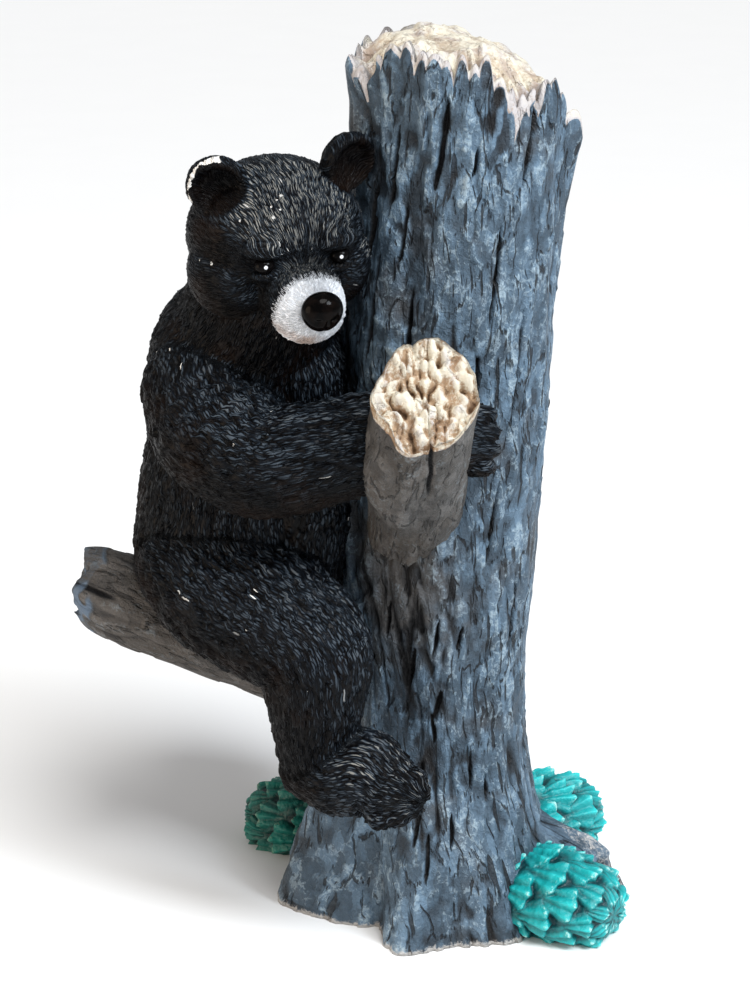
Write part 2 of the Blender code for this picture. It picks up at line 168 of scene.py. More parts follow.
def turned(profile, place, axes, around=40):
    # a profile of (radius, depth) turned round the third of the axes
    radius, depth = np.array(profile[1:-1], float).T
    angle = circle(around)
    flat = np.stack(
        [radius[:, None] * np.cos(angle), radius[:, None] * np.sin(angle), np.repeat(depth[:, None], around, 1)],
        axis=-1,
    )
    poles = np.array([[0, 0, profile[0][1]], [0, 0, profile[-1][1]]], float) @ axes + place
    return skin(flat @ axes + place, poles)


def ball(place, halfSizes, axes=np.eye(3)):
    # a sphere stretched to three half sizes along the axes
    bend = np.radians(np.linspace(-90, 90, 25))
    profile = list(zip(np.cos(bend), np.sin(bend)))
    return turned(profile, np.array(place, float), np.array(halfSizes, float)[:, None] * axes)


def mirrored(shape):
    # the shape on the other side of the plane y = 0, its faces turned back outwards
    points, quads, triangles = shape
    return points * (1, -1, 1), quads[:, ::-1], triangles[:, ::-1]


def joined(shapes):
    # the shapes as one, with each one's face numbers moved up by the points before it
    points, quads, triangles, start = [], [], [], 0
    for shapePoints, shapeQuads, shapeTriangles in shapes:
        points.append(shapePoints)
        quads.append(shapeQuads + start)
        triangles.append(shapeTriangles + start)
        start += len(shapePoints)
    return np.vstack(points), np.vstack(quads), np.vstack(triangles)


def meshOf(name, shape, marks=None):
    # the shape in metres as a smooth mesh, with each mark as an attribute of its points
    points, quads, triangles = shape
    mesh = bpy.data.meshes.new(name)
    mesh.vertices.add(len(points))
    mesh.vertices.foreach_set("co", (points * 0.001).astype(np.float32).ravel())
    corners = np.concatenate([quads.ravel(), triangles.ravel()]).astype(np.int32)
    starts = np.concatenate([
        np.arange(len(quads)) * 4, len(quads) * 4 + np.arange(len(triangles)) * 3
    ]).astype(np.int32)
    mesh.loops.add(len(corners))
    mesh.loops.foreach_set("vertex_index", corners)
    mesh.polygons.add(len(starts))
    mesh.polygons.foreach_set("loop_start", starts)
    mesh.update(calc_edges=True)
    mesh.validate()
    mesh.polygons.foreach_set("use_smooth", np.ones(len(mesh.polygons), bool))
    for mark, values in (marks or {}).items():
        kind, field = ("FLOAT_VECTOR", "vector") if values.ndim == 2 else ("FLOAT", "value")
        mesh.attributes.new(mark, kind, "POINT").data.foreach_set(field, values.astype(np.float32).ravel())
    return mesh


def placed(name, data):
    # an object at the origin, unturned, that carries a mesh, a lamp or a camera
    thing = bpy.data.objects.new(name, data)
    bpy.context.scene.collection.objects.link(thing)
    return thing


def settled(thing):
    # the object's mesh with its modifiers in place; the object goes
    bpy.context.view_layer.update()
    mesh = bpy.data.meshes.new_from_object(thing.evaluated_get(bpy.context.evaluated_depsgraph_get()))
    bpy.data.objects.remove(thing, do_unlink=True)
    return mesh


def melted(shape, grain, softness):
    # the masses run together on a lattice of that grain, then softened: (points, normals, quads)
    clay = placed("clay", meshOf("clay", shape))
    melt = clay.modifiers.new("melt", "REMESH")
    melt.mode = "VOXEL"
    melt.voxel_size = grain * 0.001
    soften = clay.modifiers.new("soften", "SMOOTH")
    soften.factor = 0.5
    soften.iterations = softness
    mesh = settled(clay)
    points = np.empty(len(mesh.vertices) * 3, np.float32)
    normals = np.empty(len(mesh.vertices) * 3, np.float32)
    corners = np.empty(len(mesh.loops), np.int32)
    mesh.vertices.foreach_get("co", points)
    mesh.vertex_normals.foreach_get("vector", normals)
    mesh.loops.foreach_get("vertex_index", corners)
    return points.reshape(-1, 3).astype(float) * 1000, normals.reshape(-1, 3).astype(float), corners.reshape(-1, 4)


def marksOf(grids):
    # one row a point for each grid, with a pole's value at both ends
    rows = {}
    for name, grid in grids.items():
        flat = grid.reshape(grid.shape[0] * grid.shape[1], -1)
        rows[name] = np.vstack([flat, grid[0].mean(axis=0), grid[-1].mean(axis=0)]).squeeze()
    return rows


def thinned(name, mesh, most):
    # fewer triangles where the surface is plain; a face of n corners is n - 2 triangles
    thing = placed(name, mesh)
    count = len(mesh.loops) - 2 * len(mesh.polygons)
    if count <= most:
        return thing
    thin = thing.modifiers.new("thin", "DECIMATE")
    thin.ratio = most / count
    return placed(name, settled(thing))


def finished(thing, paint):
    # the piece painted, and said to the frame
    thing.data.materials.clear()
    thing.data.materials.append(paint)
    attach(thing, "root")
    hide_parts("bear_figurine")
    print(thing.name, len(thing.data.polygons), "faces")


# shader sums


class Value:
    # a number socket that takes part in Python sums
    def __init__(self, paint, socket):
        self.paint, self.socket = paint, socket

    def sum(self, operation, *others):
        return self.paint.value("ShaderNodeMath", dict(operation=operation), {i: o for i, o in enumerate(others)})

    def __add__(self, other):
        return self.sum("ADD", self, other)

    def __radd__(self, other):
        return self.sum("ADD", other, self)

    def __sub__(self, other):
        return self.sum("SUBTRACT", self, other)

    def __rsub__(self, other):
        return self.sum("SUBTRACT", other, self)

    def __mul__(self, other):
        return self.sum("MULTIPLY", self, other)

    def __rmul__(self, other):
        return self.sum("MULTIPLY", other, self)

    def most(self, other):
        # the larger of the two
        return self.sum("MAXIMUM", self, other)

    def between(self, low, high):
        # 0 below low, 1 above high, smooth between
        return self.paint.value(
            "ShaderNodeMapRange", dict(interpolation_type="SMOOTHSTEP", clamp=True), {0: self, 1: low, 2: high}
        )


class Paint:
    # one material; fixed names sockets of its shader that hold a constant
    def __init__(self, name, **fixed):
        self.material = bpy.data.materials.new(name)
        self.material.use_nodes = True
        self.tree = self.material.node_tree
        self.shader = self.tree.nodes["Principled BSDF"]
        for socket, value in fixed.items():
            self.shader.inputs[socket.replace("_", " ")].default_value = value

    def node(self, kind, settings=None, inputs=None):
        made = self.tree.nodes.new(kind)
        for key, value in (settings or {}).items():
            setattr(made, key, value)
        for key, value in (inputs or {}).items():
            self.join(value, made.inputs[key])
        return made

    def join(self, value, socket):
        if isinstance(value, Value):
            self.tree.links.new(value.socket, socket)
        elif isinstance(value, bpy.types.NodeSocket):
            self.tree.links.new(value, socket)
        elif isinstance(value, tuple) and len(value) == 3 and socket.type == "RGBA":
            socket.default_value = (*value, 1)
        else:
            socket.default_value = value

    def value(self, kind, settings=None, inputs=None, output=0):
        return Value(self, self.node(kind, settings, inputs).outputs[output])

    def mark(self, name):
        # a number that the mesh carries at its points
        return self.value("ShaderNodeAttribute", dict(attribute_name=name), output="Fac")

    def place(self, size, stretch, on):
        # the mesh's own places in millimetres, or Object coordinates in metres, over the size and the stretch
        if on:
            at, more = self.node("ShaderNodeAttribute", dict(attribute_name=on)).outputs["Vector"], 1
        else:
            at, more = self.node("ShaderNodeTexCoord").outputs["Object"], 1000
        scale = tuple(more * (1.0 / size / s) for s in stretch)
        return self.node("ShaderNodeMapping", None, {"Vector": at, "Scale": scale}).outputs[0]

    def noise(self, size, detail=3.0, rough=0.55, stretch=(1, 1, 1), twist=0.0, on=None):
        # noise 0..1 with blots of about that size in millimetres, on Object coordinates or on the mesh's own places
        at = self.place(size, stretch, on)
        return self.value(
            "ShaderNodeTexNoise", dict(noise_type="FBM", normalize=True),
            {"Vector": at, "Scale": 1.0, "Detail": detail, "Roughness": rough, "Distortion": twist},
        )

    def cells(self, size, stretch, on, ragged=0.35):
        # ragged cells on the mesh's own places: (distance from the middle, chance of each, gap from the edge)
        at = self.place(size, stretch, on)
        stray = self.node("ShaderNodeTexNoise", None, {"Vector": at, "Scale": 2.2, "Detail": 2.0}).outputs["Color"]
        bent = {0: stray, 1: (ragged,) * 3, 2: at}
        at = self.node("ShaderNodeVectorMath", dict(operation="MULTIPLY_ADD"), bent).outputs[0]
        cell = self.node("ShaderNodeTexVoronoi", dict(feature="F1"), {"Vector": at, "Scale": 1.0})
        chance = self.value("ShaderNodeSeparateColor", None, {0: cell.outputs["Color"]})
        gap = self.value("ShaderNodeTexVoronoi", dict(feature="DISTANCE_TO_EDGE"), {"Vector": at, "Scale": 1.0})
        return Value(self, cell.outputs["Distance"]), chance, gap

    def mixed(self, share, first, second):
        # the first colour at share 0, the second at 1
        made = self.node("ShaderNodeMix", dict(data_type="RGBA"))
        self.join(share, made.inputs[0])
        self.join(first, made.inputs[6])
        self.join(second, made.inputs[7])
        return made.outputs[2]

    def surface(self, colour=None, roughness=None, height=None, depth=0.2):
        # depth is the bump's height in millimetres
        if colour is not None:
            self.join(colour, self.shader.inputs["Base Color"])
        if roughness is not None:
            self.join(roughness, self.shader.inputs["Roughness"])
        if height is not None:
            bump = self.node(
                "ShaderNodeBump", None, {"Height": height, "Strength": 1.0, "Distance": depth * 0.001}
            )
            self.join(bump.outputs[0], self.shader.inputs["Normal"])
        return self.material


# trunk

trunkSizes = dict(
    height=169.0, radius=20.3, waistDepth=2.9, waistHeight=46.0, waistSpread=27.0, bow=2.6, lean=1.3,
    footFlare=4.5, footFlareHeight=36.0, topCrest=8.5, topFall=4.0, barkDepth=1.2, barkThickness=1.5,
    dome=1.6, around=340, levels=246, topRings=40, mostTriangles=199000,
)
# the broken edge of the bark: direction, height; blunt tips and sharp notches in turn
trunkRim = (
    (-178, 173.0), (-173, 176.2), (-168, 173.6), (-163, 177.0), (-157, 173.4), (-152, 175.4), (-148, 169.6),
    (-143, 177.8), (-139, 176.4), (-133, 180.3), (-127, 178.2), (-123, 181.0), (-118, 176.2), (-114, 179.9),
    (-110.5, 177.6), (-107, 178.9), (-103, 176.9), (-100, 177.6), (-96.5, 173.6), (-92.5, 179.3), (-89, 175.6),
    (-86, 177.0), (-83.5, 175.4), (-79, 178.6), (-75.5, 173.2), (-71, 174.9), (-67, 171.2), (-64.5, 172.8),
    (-61.5, 167.9), (-58, 171.6), (-54.5, 169.2), (-50, 172.0), (-46.5, 168.9), (-41.5, 173.6), (-36.5, 171.2),
    (-31.5, 173.0), (-27, 168.6), (-23, 170.4), (-18, 165.0), (-12, 166.0), (-7, 163.2), (-1, 159.4), (6, 160.8),
    (12, 159.2), (19, 165.8), (26, 164.2), (33, 169.2), (41, 165.4), (50, 172.0), (58, 168.4), (66, 174.2),
    (75, 170.4), (84, 176.2), (92, 172.4), (101, 178.0), (110, 176.0), (119, 179.4), (128, 176.0), (138, 179.0),
    (147, 175.6), (156, 178.4), (166, 174.6), (174, 177.2),
)
# tips that lean out: direction, half width in degrees, how far
trunkSpread = ((-6, 8, 3.0), (-163, 14, 2.2), (60, 9, 0.8), (116, 9, 0.7))
# direction round the trunk, reach, half width in degrees, height on the trunk, fullness; the one below nought is a
# hollow
trunkRoots = (
    (-3, 14.0, 13, 16.8, 3.2), (-62, 2.6, 20, 30, 1.5), (-108, 4.6, 14, 40, 1.5), (-130, -2.6, 7, 50, 1.5),
    (-171, 11.5, 21, 52, 1.5), (115, 7.0, 18, 40, 1.5), (62, 6.0, 16, 30, 1.5),
)
# slits in the bark: direction and height of the upper and the lower end, half width
trunkSlits = (
    (-97.9, 169.8, -104.0, 155.5, 0.75), (-46.0, 172.0, -55.0, 156.0, 0.9), (-81.8, 161.6, -83.8, 157.5, 0.55),
    (-122.3, 71.5, -127.1, 65.1, 0.55), (-106.5, 62.0, -113.1, 54.1, 0.65), (-91.1, 68.7, -96.0, 61.7, 0.5),
    (-76.0, 67.0, -81.1, 62.5, 0.45), (-89.4, 52.9, -96.8, 47.6, 0.6), (-96.8, 47.6, -95.5, 42.4, 0.5),
    (-69.8, 38.3, -72.6, 32.2, 0.45), (-85.1, 26.3, -87.2, 20.5, 0.5), (-118.0, 150.0, -122.0, 141.0, 0.5),
    (-60.0, 34.0, -62.0, 29.0, 0.4), (-99.0, 22.0, -101.0, 14.0, 0.5), (-20.0, 120.0, -26.0, 104.0, 0.5),
    (0.0, 96.0, -5.0, 82.0, 0.5), (25.0, 150.0, 20.0, 132.0, 0.6), (60.0, 128.0, 54.0, 110.0, 0.6),
    (95.0, 158.0, 90.0, 140.0, 0.6), (130.0, 110.0, 124.0, 92.0, 0.6), (80.0, 76.0, 74.0, 60.0, 0.6),
    (40.0, 60.0, 36.0, 46.0, 0.5), (110.0, 50.0, 106.0, 34.0, 0.6), (150.0, 160.0, 146.0, 146.0, 0.5),
    (15.0, 40.0, 12.0, 28.0, 0.5), (165.0, 40.0, 163.0, 26.0, 0.5), (-141.0, 152.0, -146.0, 136.0, 0.9),
    (-133.0, 140.0, -142.0, 122.0, 0.9), (-126.0, 164.0, -130.0, 150.0, 0.7), (-112.0, 134.0, -116.0, 120.0, 0.6),
    (-66.0, 146.0, -70.0, 130.0, 0.5), (-48.0, 130.0, -52.0, 112.0, 0.55), (-104.0, 36.0, -107.0, 22.0, 0.7),
    (-58.0, 96.0, -64.0, 82.0, 0.5), (-40.0, 76.0, -44.0, 62.0, 0.5), (-74.0, 122.0, -77.0, 112.0, 0.45),
    (-145.0, 178.0, -147.0, 174.0, 1.2),
)


def angleOff(turn, direction):
    # degrees from a direction, -180 to 180
    return np.degrees(np.angle(np.exp(1j * (turn - math.radians(direction)))))


def trunkAxis(height):
    # x of the axis: a lean in step with height less a bow of half a sine
    share = height / trunkSizes["height"]
    return trunkSizes["lean"] * share - trunkSizes["bow"] * np.sin(math.pi * np.clip(share, 0, 1))


def trunkRadius(turn, height):
    # radius less a bell-shaped waist, plus a flare and one bell-shaped ridge for each root
    s = trunkSizes
    waist = s["waistDepth"] * np.exp(-(((height - s["waistHeight"]) / s["waistSpread"]) ** 2))
    low = np.clip(1 - height / s["footFlareHeight"], 0, 1.2)
    radius = s["radius"] - waist + s["footFlare"] * low**2
    for direction, reach, halfWidth, top, full in trunkRoots:
        rise = np.clip(height, 0, None) / top
        bell = np.exp(-((angleOff(turn, direction) / halfWidth) ** 2))
        radius = radius + reach * np.clip(1 - rise**full, 0, 1) * bell
    return radius


def topLevel(across):
    # height of the broken top: a crest, less a fall towards +X
    return trunkSizes["height"] + trunkSizes["topCrest"] * (1 - np.abs(across) ** 3) - trunkSizes["topFall"] * across


def barkRelief(turn, height):
    # ridges that run up the trunk and lean a little, less creased furrows and gouges to the fifth power, plus torn
    # flakes, crumbs and plates: (all, small); both are weaker where the trunk isn't rugged
    around = turn / (2 * math.pi)
    lean = height / 110.0

    def patches(cells, leans, tall, seed, wander=0):
        # noise with so many cells round the trunk that close on themselves, each so many millimetres tall
        return gridNoise(cells * around + leans * lean + wander, height / tall, seed, cells)

    coarse, middle = patches(26, 1, 22.0, 11), patches(52, 2, 11.0, 12)
    relief = trunkSizes["barkDepth"] * (2 * (0.68 * coarse + 0.32 * middle) - 1)
    furrow = creased(patches(64, 2.6, 15.0, 14, 1.4 * patches(40, 1.5, 9.0, 13)))
    relief = relief - 0.62 * furrow**5 * eased(0.35, 0.6, patches(18, 1, 16.0, 15))
    torn = 0.35 + 0.65 * eased(0.25, 0.65, patches(14, 0, 17.0, 17))
    small = 0.65 * (eased(0.42, 0.62, patches(88, 3, 3.4, 16)) - 0.5) * torn
    plateRow = height / 7.5 + 2.2 * patches(16, 0, 12.0, 21)
    plateEdge = plateRow - np.floor(plateRow)
    plates = 0.5 * (plateEdge**3 - 0.25) * eased(0.45, 0.6, patches(30, 1, 6.0, 22))
    small = small + 0.35 * (patches(90, 3, 1.9, 18) - 0.5) + plates
    gouge = creased(patches(34, 1.6, 26.0, 19)) ** 5
    small = small - 0.9 * gouge * eased(0.35, 0.7, patches(11, 0, 30.0, 20))
    rugged = eased(60, 15, np.abs(angleOff(turn, -120))) + eased(70, 20, np.abs(angleOff(turn, 100)))
    return (relief + small) * (0.55 + 0.45 * rugged), small


def slitDepth(turn, height, radius):
    # a narrow trough along each slit, widest in its middle and closed at its ends
    depth = np.zeros_like(height)
    for topTurn, topHeight, lowTurn, lowHeight, halfWidth in trunkSlits:
        t = 0.5 + (height - 0.5 * (lowHeight + topHeight)) / (1.2 * (topHeight - lowHeight))
        middle = lowTurn + (topTurn - lowTurn) * t + 0.5 * np.sin(5 * t)
        off = np.radians(angleOff(turn, 0) - middle)
        off = np.abs(np.angle(np.exp(1j * off))) * radius
        width = 0.8 * halfWidth * np.sqrt(np.clip(1 - (2 * t - 1) ** 2, 0, 1)) + 1e-6
        depth = np.maximum(depth, 1.7 * np.clip(1.6 - 1.3 * off / width, 0, 1) * eased(0.02, 0.3, width / halfWidth))
    return depth


def woodGrain(turn, along, radius, seed):
    # places on an unrolled and rerolled cylinder, where straight grain leans and wanders
    part = turn / (2 * math.pi)
    wander = gridNoise(9 * part, along / 14.0, seed, 9) + 0.4 * gridNoise(22 * part, along / 6.0, seed + 1, 22)
    bent = turn + 0.16 * wander + along / 420.0
    return np.stack([radius * np.cos(bent), radius * np.sin(bent), along + 0 * turn], axis=-1)


def makeTrunk():
    # rings of the trunk's radius plus bark less slits, up to a splintered edge, then a lumpy dome inside the bark;
    # between two knots the edge follows a sine's power up to a tip and down from it
    s = trunkSizes
    turn = circle(s["around"])
    turn = turn - 0.3 * np.cos(turn)  # closer together on the viewer's side
    knots, levels = np.array(trunkRim).T
    place = np.interp((np.degrees(turn) - knots[0]) % 360 + knots[0], np.append(knots, knots[0] + 360),
                      np.arange(len(knots) + 1))
    before = place.astype(int) % len(knots)
    t = place - np.floor(place)
    one, two = levels[before], levels[(before + 1) % len(knots)]
    t = np.where(two > one, np.sin(math.pi / 2 * t) ** 0.6, 1 - np.cos(math.pi / 2 * t) ** 0.6)
    edge = one + (two - one) * t
    lean = sum(outward * np.exp(-((angleOff(turn, direction) / halfWidth) ** 2))
               for direction, halfWidth, outward in trunkSpread)
    bite = gridNoise(60 * turn / (2 * math.pi), 0 * turn, 32, 60)
    edge += 1.2 * (bite - 0.5)
    share = np.linspace(0, 1, s["levels"])[:, None]
    height = share * edge
    turns = np.broadcast_to(turn, height.shape)
    base = trunkRadius(turns, height)
    relief, small = barkRelief(turns, height)
    rootTop = np.exp(-((angleOff(turns, -3) / 15) ** 2)) * eased(26, 12, height)
    relief += 2.2 * rootTop * (gridNoise(96 * turns / (2 * math.pi), height / 2.4, 23, 96) - 0.5)
    slits = slitDepth(turns, height, base)
    below = edge - height
    rim = np.clip(1 - below / 2.4, 0, 1)
    radius = base + relief * (1 - 0.6 * rim) - slits + lean * share**12 - 0.7 * rim**2
    side = np.stack([radius * np.cos(turns), radius * np.sin(turns), height], axis=-1)
    inward = np.linspace(1, 0.03, s["topRings"])[:, None]
    inner = (base[-1] - s["barkThickness"] + 0.5 * (bite - 0.5)) * inward
    x, y = inner * np.cos(turn), inner * np.sin(turn)
    flat = np.stack([x, y, 0 * x], axis=-1)
    lumps = cloudNoise(flat, 4.0, 41) - 0.5
    grain = creased(cloudNoise(flat * (1, 0.45, 1), 2.2, 42)) - 0.5
    dome = topLevel(inward * np.cos(turn)) + s["dome"] * (1 - inward**2) + 2.4 * lumps + 0.7 * grain
    dome += (edge - 0.9 - topLevel(np.cos(turn))) * eased(0.62, 0.98, inward)
    dome -= 0.9 * eased(0.8, 0.92, inward) * eased(1.0, 0.97, inward)
    top = np.stack([x, y, dome], axis=-1)
    floorShare = np.linspace(0.04, 0.97, 5)[:, None]
    floor = np.stack([
        floorShare * radius[0] * np.cos(turn), floorShare * radius[0] * np.sin(turn), np.zeros((5, len(turn)))
    ], axis=-1)
    rings = np.concatenate([floor, side, top])
    rings[..., 0] += trunkAxis(rings[..., 2])
    shape = skin(rings)
    # cream paint covers the break and runs down between the splinters
    runs = gridNoise(34 * turn / (2 * math.pi), below / 3.0, 35, 34)
    tallness = edge - topLevel(np.cos(turn))
    reach = np.clip(2.0 - 0.4 * tallness, 0.5, 4.5) * (0.3 + 2.0 * runs**2)
    creamSide = eased(1.3, 0.6, below / reach)
    creamTop = 1 - 0.2 * eased(0.80, 0.95, inward + 0.25 * (cloudNoise(flat, 6.0, 43) - 0.5))
    cream = np.concatenate([np.zeros(floor.shape[:2]), 0.8 * creamSide, creamTop])
    ridgeSide = (1 - creamSide) * (0.5 * relief + 1.0 * small - 1.2 * slits) + 0.4 * creamSide
    ridge = np.concatenate([np.zeros(floor.shape[:2]), ridgeSide, 0.8 * lumps + 0.8 * grain])
    wornSide = np.maximum(np.exp(-height / 1.6), 0.6 * rootTop)
    worn = np.concatenate([np.zeros(floor.shape[:2]), wornSide, np.zeros(top.shape[:2])])
    # painted shade: brown runs out on the bark under the root of the stub
    paintedShade = np.exp(-((np.linalg.norm((rings - (-11.0, -19.0, 74.0)) / (11.5, 12.5, 14.5), axis=-1)) ** 2))
    grainPlace = woodGrain(turns, height, 20.0, 81)
    grainPlace = np.concatenate([rings[:5], grainPlace, top * (1, 1, 0.4)])
    marks = marksOf(dict(cream=cream, ridge=ridge, worn=worn, paintedShade=paintedShade, grain=grainPlace))
    return thinned("trunk", meshOf("trunk", shape, marks), s["mostTriangles"])


# broken branches

# the rim of each broken end: direction round the axis in degrees, how far it stands out
stubRim = (
    (0, -0.3), (20, 0.4), (42, 1.2), (56, 2.1), (67, 2.2), (73, 0.8), (78, -0.5), (84, 1.2), (92, 2.2), (106, 1.9),
    (120, 1.3), (136, 1.7), (150, 0.9), (160, 1.5), (168, -0.8), (178, -0.4), (190, 0.9), (206, 0.7), (219, -0.4),
    (236, 0.0), (250, -0.3), (262, -1.0), (276, -1.5), (291, -2.4), (304, -1.8), (318, -0.2), (335, 0.5), (350, -0.5),
)
branchRim = (
    (0, 0.8), (45, 0.8), (70, 1.7), (90, 1.9), (108, 1.7), (128, 0.2), (140, 0.0), (156, 1.2), (180, 1.3), (204, 0.8),
    (222, -0.5), (240, -0.8), (254, 0.3), (272, 0.5), (292, 0.2), (315, 0.5), (340, 0.6),
)
stubSizes = dict(
    radius=9.2, height=73.4, shift=-6.2, reach=40.5, slope=50, direction=-87, swell=0.5, slant=3.0, flank=3.4,
    worn=0.02, rim=stubRim, rough=1.2, ledge=0.0, patchy=0.0, lumps=1.0, flake=0.08, furrow=0.25, runs=(0.4, 2.4),
    crack=(-97, 2.0, 0.68, 0.78), seed=51, around=190, levels=150,
)
branchSizes = dict(
    radius=8.6, height=38.4, shift=0.0, reach=73.0, slope=22, direction=177, swell=1.6, slant=0.4, flank=0.0,
    worn=0.30, rim=branchRim, rough=0.9, ledge=0.9, patchy=0.5, lumps=1.6, flake=0.2, furrow=0.3, runs=(1.2, 4.0),
    crack=(160, 3, 0.86, 0.94), seed=61, around=180, levels=200,
)


def makeBough(name, s):
    # a ridged tube from the trunk's axis that swells with the fourth power of its length, with a bell-shaped flank,
    # closed by a rough slanting end; the rim's steps fade to the middle with the square of the radius
    seed = s["seed"]
    direction, slope = math.radians(s["direction"]), math.radians(s["slope"])
    ahead = np.array([math.cos(slope) * math.cos(direction), math.cos(slope) * math.sin(direction), math.sin(slope)])
    side = unit(np.cross(ahead, (0, 0, 1)))
    up = np.cross(side, ahead)
    start = np.array([trunkAxis(s["height"]) + s["shift"], 0, s["height"]])
    length = s["reach"] / math.cos(slope)
    turn = circle(s["around"])[None, :]
    share = np.linspace(0.12, 1, s["levels"])[:, None]
    part = turn / (2 * math.pi)
    ridges = gridNoise(12 * part + 0 * share, share * length / 16.0 + 0 * turn, seed, 12) - 0.5
    radius = (s["radius"] + s["swell"] * share**4 + 1.2 * ridges) * (1 - s["worn"] * share**18)
    radius = radius + s["flank"] * np.exp(-(((share - 0.66) / 0.14) ** 2)) * np.clip(np.cos(turn), 0, 1)
    furrow = creased(gridNoise(26 * part + 0.6 * share, share * length / 12.0 + 0 * turn, seed + 3, 26))
    flakes = gridNoise(38 * part + share, share * length / 2.6 + 0 * turn, seed + 4, 38)
    relief = -s["furrow"] * furrow**5 + s["flake"] * (eased(0.4, 0.62, flakes) - 0.5)
    crack = np.abs(angleOff(turn, s["crack"][0]) + 5 * (gridNoise(share * 14 + 0 * turn, 0 * turn, seed + 12) - 0.5))
    relief = relief - 1.3 * np.exp(-((crack / s["crack"][1]) ** 2)) * eased(*s["crack"][2:], share)
    lip = 0.9 * np.exp(-(((1 - share) * length / 1.8) ** 2))
    radius = radius + relief + lip * (gridNoise(11 * part, 0 * turn, seed + 5, 11) - 0.75)
    knots, offsets = np.array(s["rim"]).T
    broken = np.interp(np.degrees(turn), knots, offsets, period=360)
    broken = broken + s["rough"] * (gridNoise(23 * part, 0 * turn, seed + 1, 23) - 0.5)

    def slant(v):
        # the end leans, and below its middle it steps back behind a notch
        step = s["ledge"] * (eased(-0.62, -0.36, v) - 0.7) - 0.6 * s["ledge"] * np.exp(-(((v + 0.48) / 0.10) ** 2))
        return s["slant"] * v + step

    along = share * (length + broken) + share**6 * slant(np.sin(turn))
    inward = np.linspace(0.97, 0.04, 40)[:, None]
    u, v = inward * np.cos(turn), inward * np.sin(turn)
    flat = np.stack([u * s["radius"], v * s["radius"], 0 * u], axis=-1)
    lumps = gridNoise(u * 3, v * 3, seed + 2) - 0.5
    bent = flat @ np.array([[0.87, 0.35, 0], [-0.5, 0.6, 0], [0, 0, 1.0]])
    knobs = eased(0.15, 0.85, cloudNoise(bent, 1.3, seed + 7)) - 0.5
    pits = creased(cloudNoise(flat * (1, 0.5, 1), 1.3, seed + 8)) ** 4
    capRelief = 1.2 * knobs - 0.9 * pits + 1.1 * (cloudNoise(bent, 0.8, seed + 9) - 0.5)
    capRelief = capRelief * eased(1.0, 0.93, inward) - 0.2 * eased(1.0, 0.95, inward)
    capAlong = length + slant(v) + broken * inward**2 + s["lumps"] * lumps + capRelief
    radius = np.concatenate([radius, radius[-1:] * inward])[..., None]
    along = np.concatenate([along, capAlong])[..., None]
    rings = start + along * ahead + radius * (np.cos(turn)[..., None] * side + np.sin(turn)[..., None] * up)
    shape = skin(rings)
    toEnd = (1 - share) * length + 0 * turn
    runs = gridNoise(16 * part, toEnd / 2.0, seed + 10, 16)
    creamSide = eased(1.2, 0.8, toEnd / (s["runs"][0] + s["runs"][1] * runs))
    bare = eased(0.48, 0.70, gridNoise(8 * part, toEnd / 2.2, seed + 13, 8))
    cream = np.concatenate([creamSide * (1 - s["patchy"] * bare),
                            1 - s["patchy"] * eased(0.48, 0.70, cloudNoise(flat, 3.0, seed + 14))])
    ridge = np.concatenate([2.0 * relief + 0 * turn, 0.9 * capRelief + 0.45])
    grainPlace = np.concatenate([woodGrain(turn + 0 * share, share * length, s["radius"], seed + 11), flat])
    marks = marksOf(dict(cream=cream, ridge=ridge, worn=0 * cream, grain=grainPlace))
    return placed(name, meshOf(name, shape, marks))


# pine cones

coneSizes = dict(scalesRound=6, rows=8.2, lift=1.8, pleat=1.1, around=256, levels=176)
conePlaces = (
    dict(name="cone_front_right", direction=-34, distance=27.2, height=6.4, length=13.6, thickness=11.2, flat=0.80,
         tip=-36),
    dict(name="cone_back_right", direction=37, distance=27.0, height=7.2, length=13.0, thickness=9.9, flat=1.0,
         tip=24),
    dict(name="cone_back_left", direction=146, distance=37.4, height=4.2, length=12.2, thickness=9.8, flat=1.0,
         tip=165),
)


def coneScales(turn, share, seed):
    # two interleaved rows of fans: each rises to a scalloped rim and drops behind it, with sharp folds that spread
    # from its root; no two are quite the same
    chance = np.random.default_rng(seed).random((2, 3, 12, coneSizes["scalesRound"]))
    lift, folds, rim = 0 * turn * share, 0 * turn * share, 0 * turn * share
    for offset in range(2):
        column = coneSizes["scalesRound"] * turn / (2 * math.pi) + 0.5 * offset + 0 * share
        across = 2 * (column - np.floor(column)) - 1
        row = 0.5 * coneSizes["rows"] * share + 0.5 * offset + 0.2 * across**2
        own = chance[offset][:, row.astype(int) % 12, np.floor(column).astype(int) % coneSizes["scalesRound"]]
        within = row - np.floor(row)
        spread = 0.18 + 0.92 * within
        ray = (1.35 + 0.7 * own[1]) * (across + 0.3 * (own[2] - 0.5)) / spread
        pleats = 1 - 3.0 * np.abs(ray - np.round(ray))
        edge = 0.86 + 0.05 * pleats
        fan = within * np.clip(1 - (across / spread) ** 2, 0, 1) ** 0.5 * eased(edge + 0.12, edge - 0.02, within)
        fan = fan * (0.75 + 0.35 * own[0])
        rimHere = eased(edge - 0.10, edge - 0.03, within) * eased(0.35, 0.6, fan)
        higher = fan > lift
        lift = np.where(higher, fan, lift)
        folds = np.where(higher, pleats * fan, folds)
        rim = np.where(higher, rimHere, rim)
    ends = eased(1.0, 0.96, share) * eased(0.05, 0.34, share)
    return 0.3 + (lift - 0.3) * ends, folds * ends, rim * ends


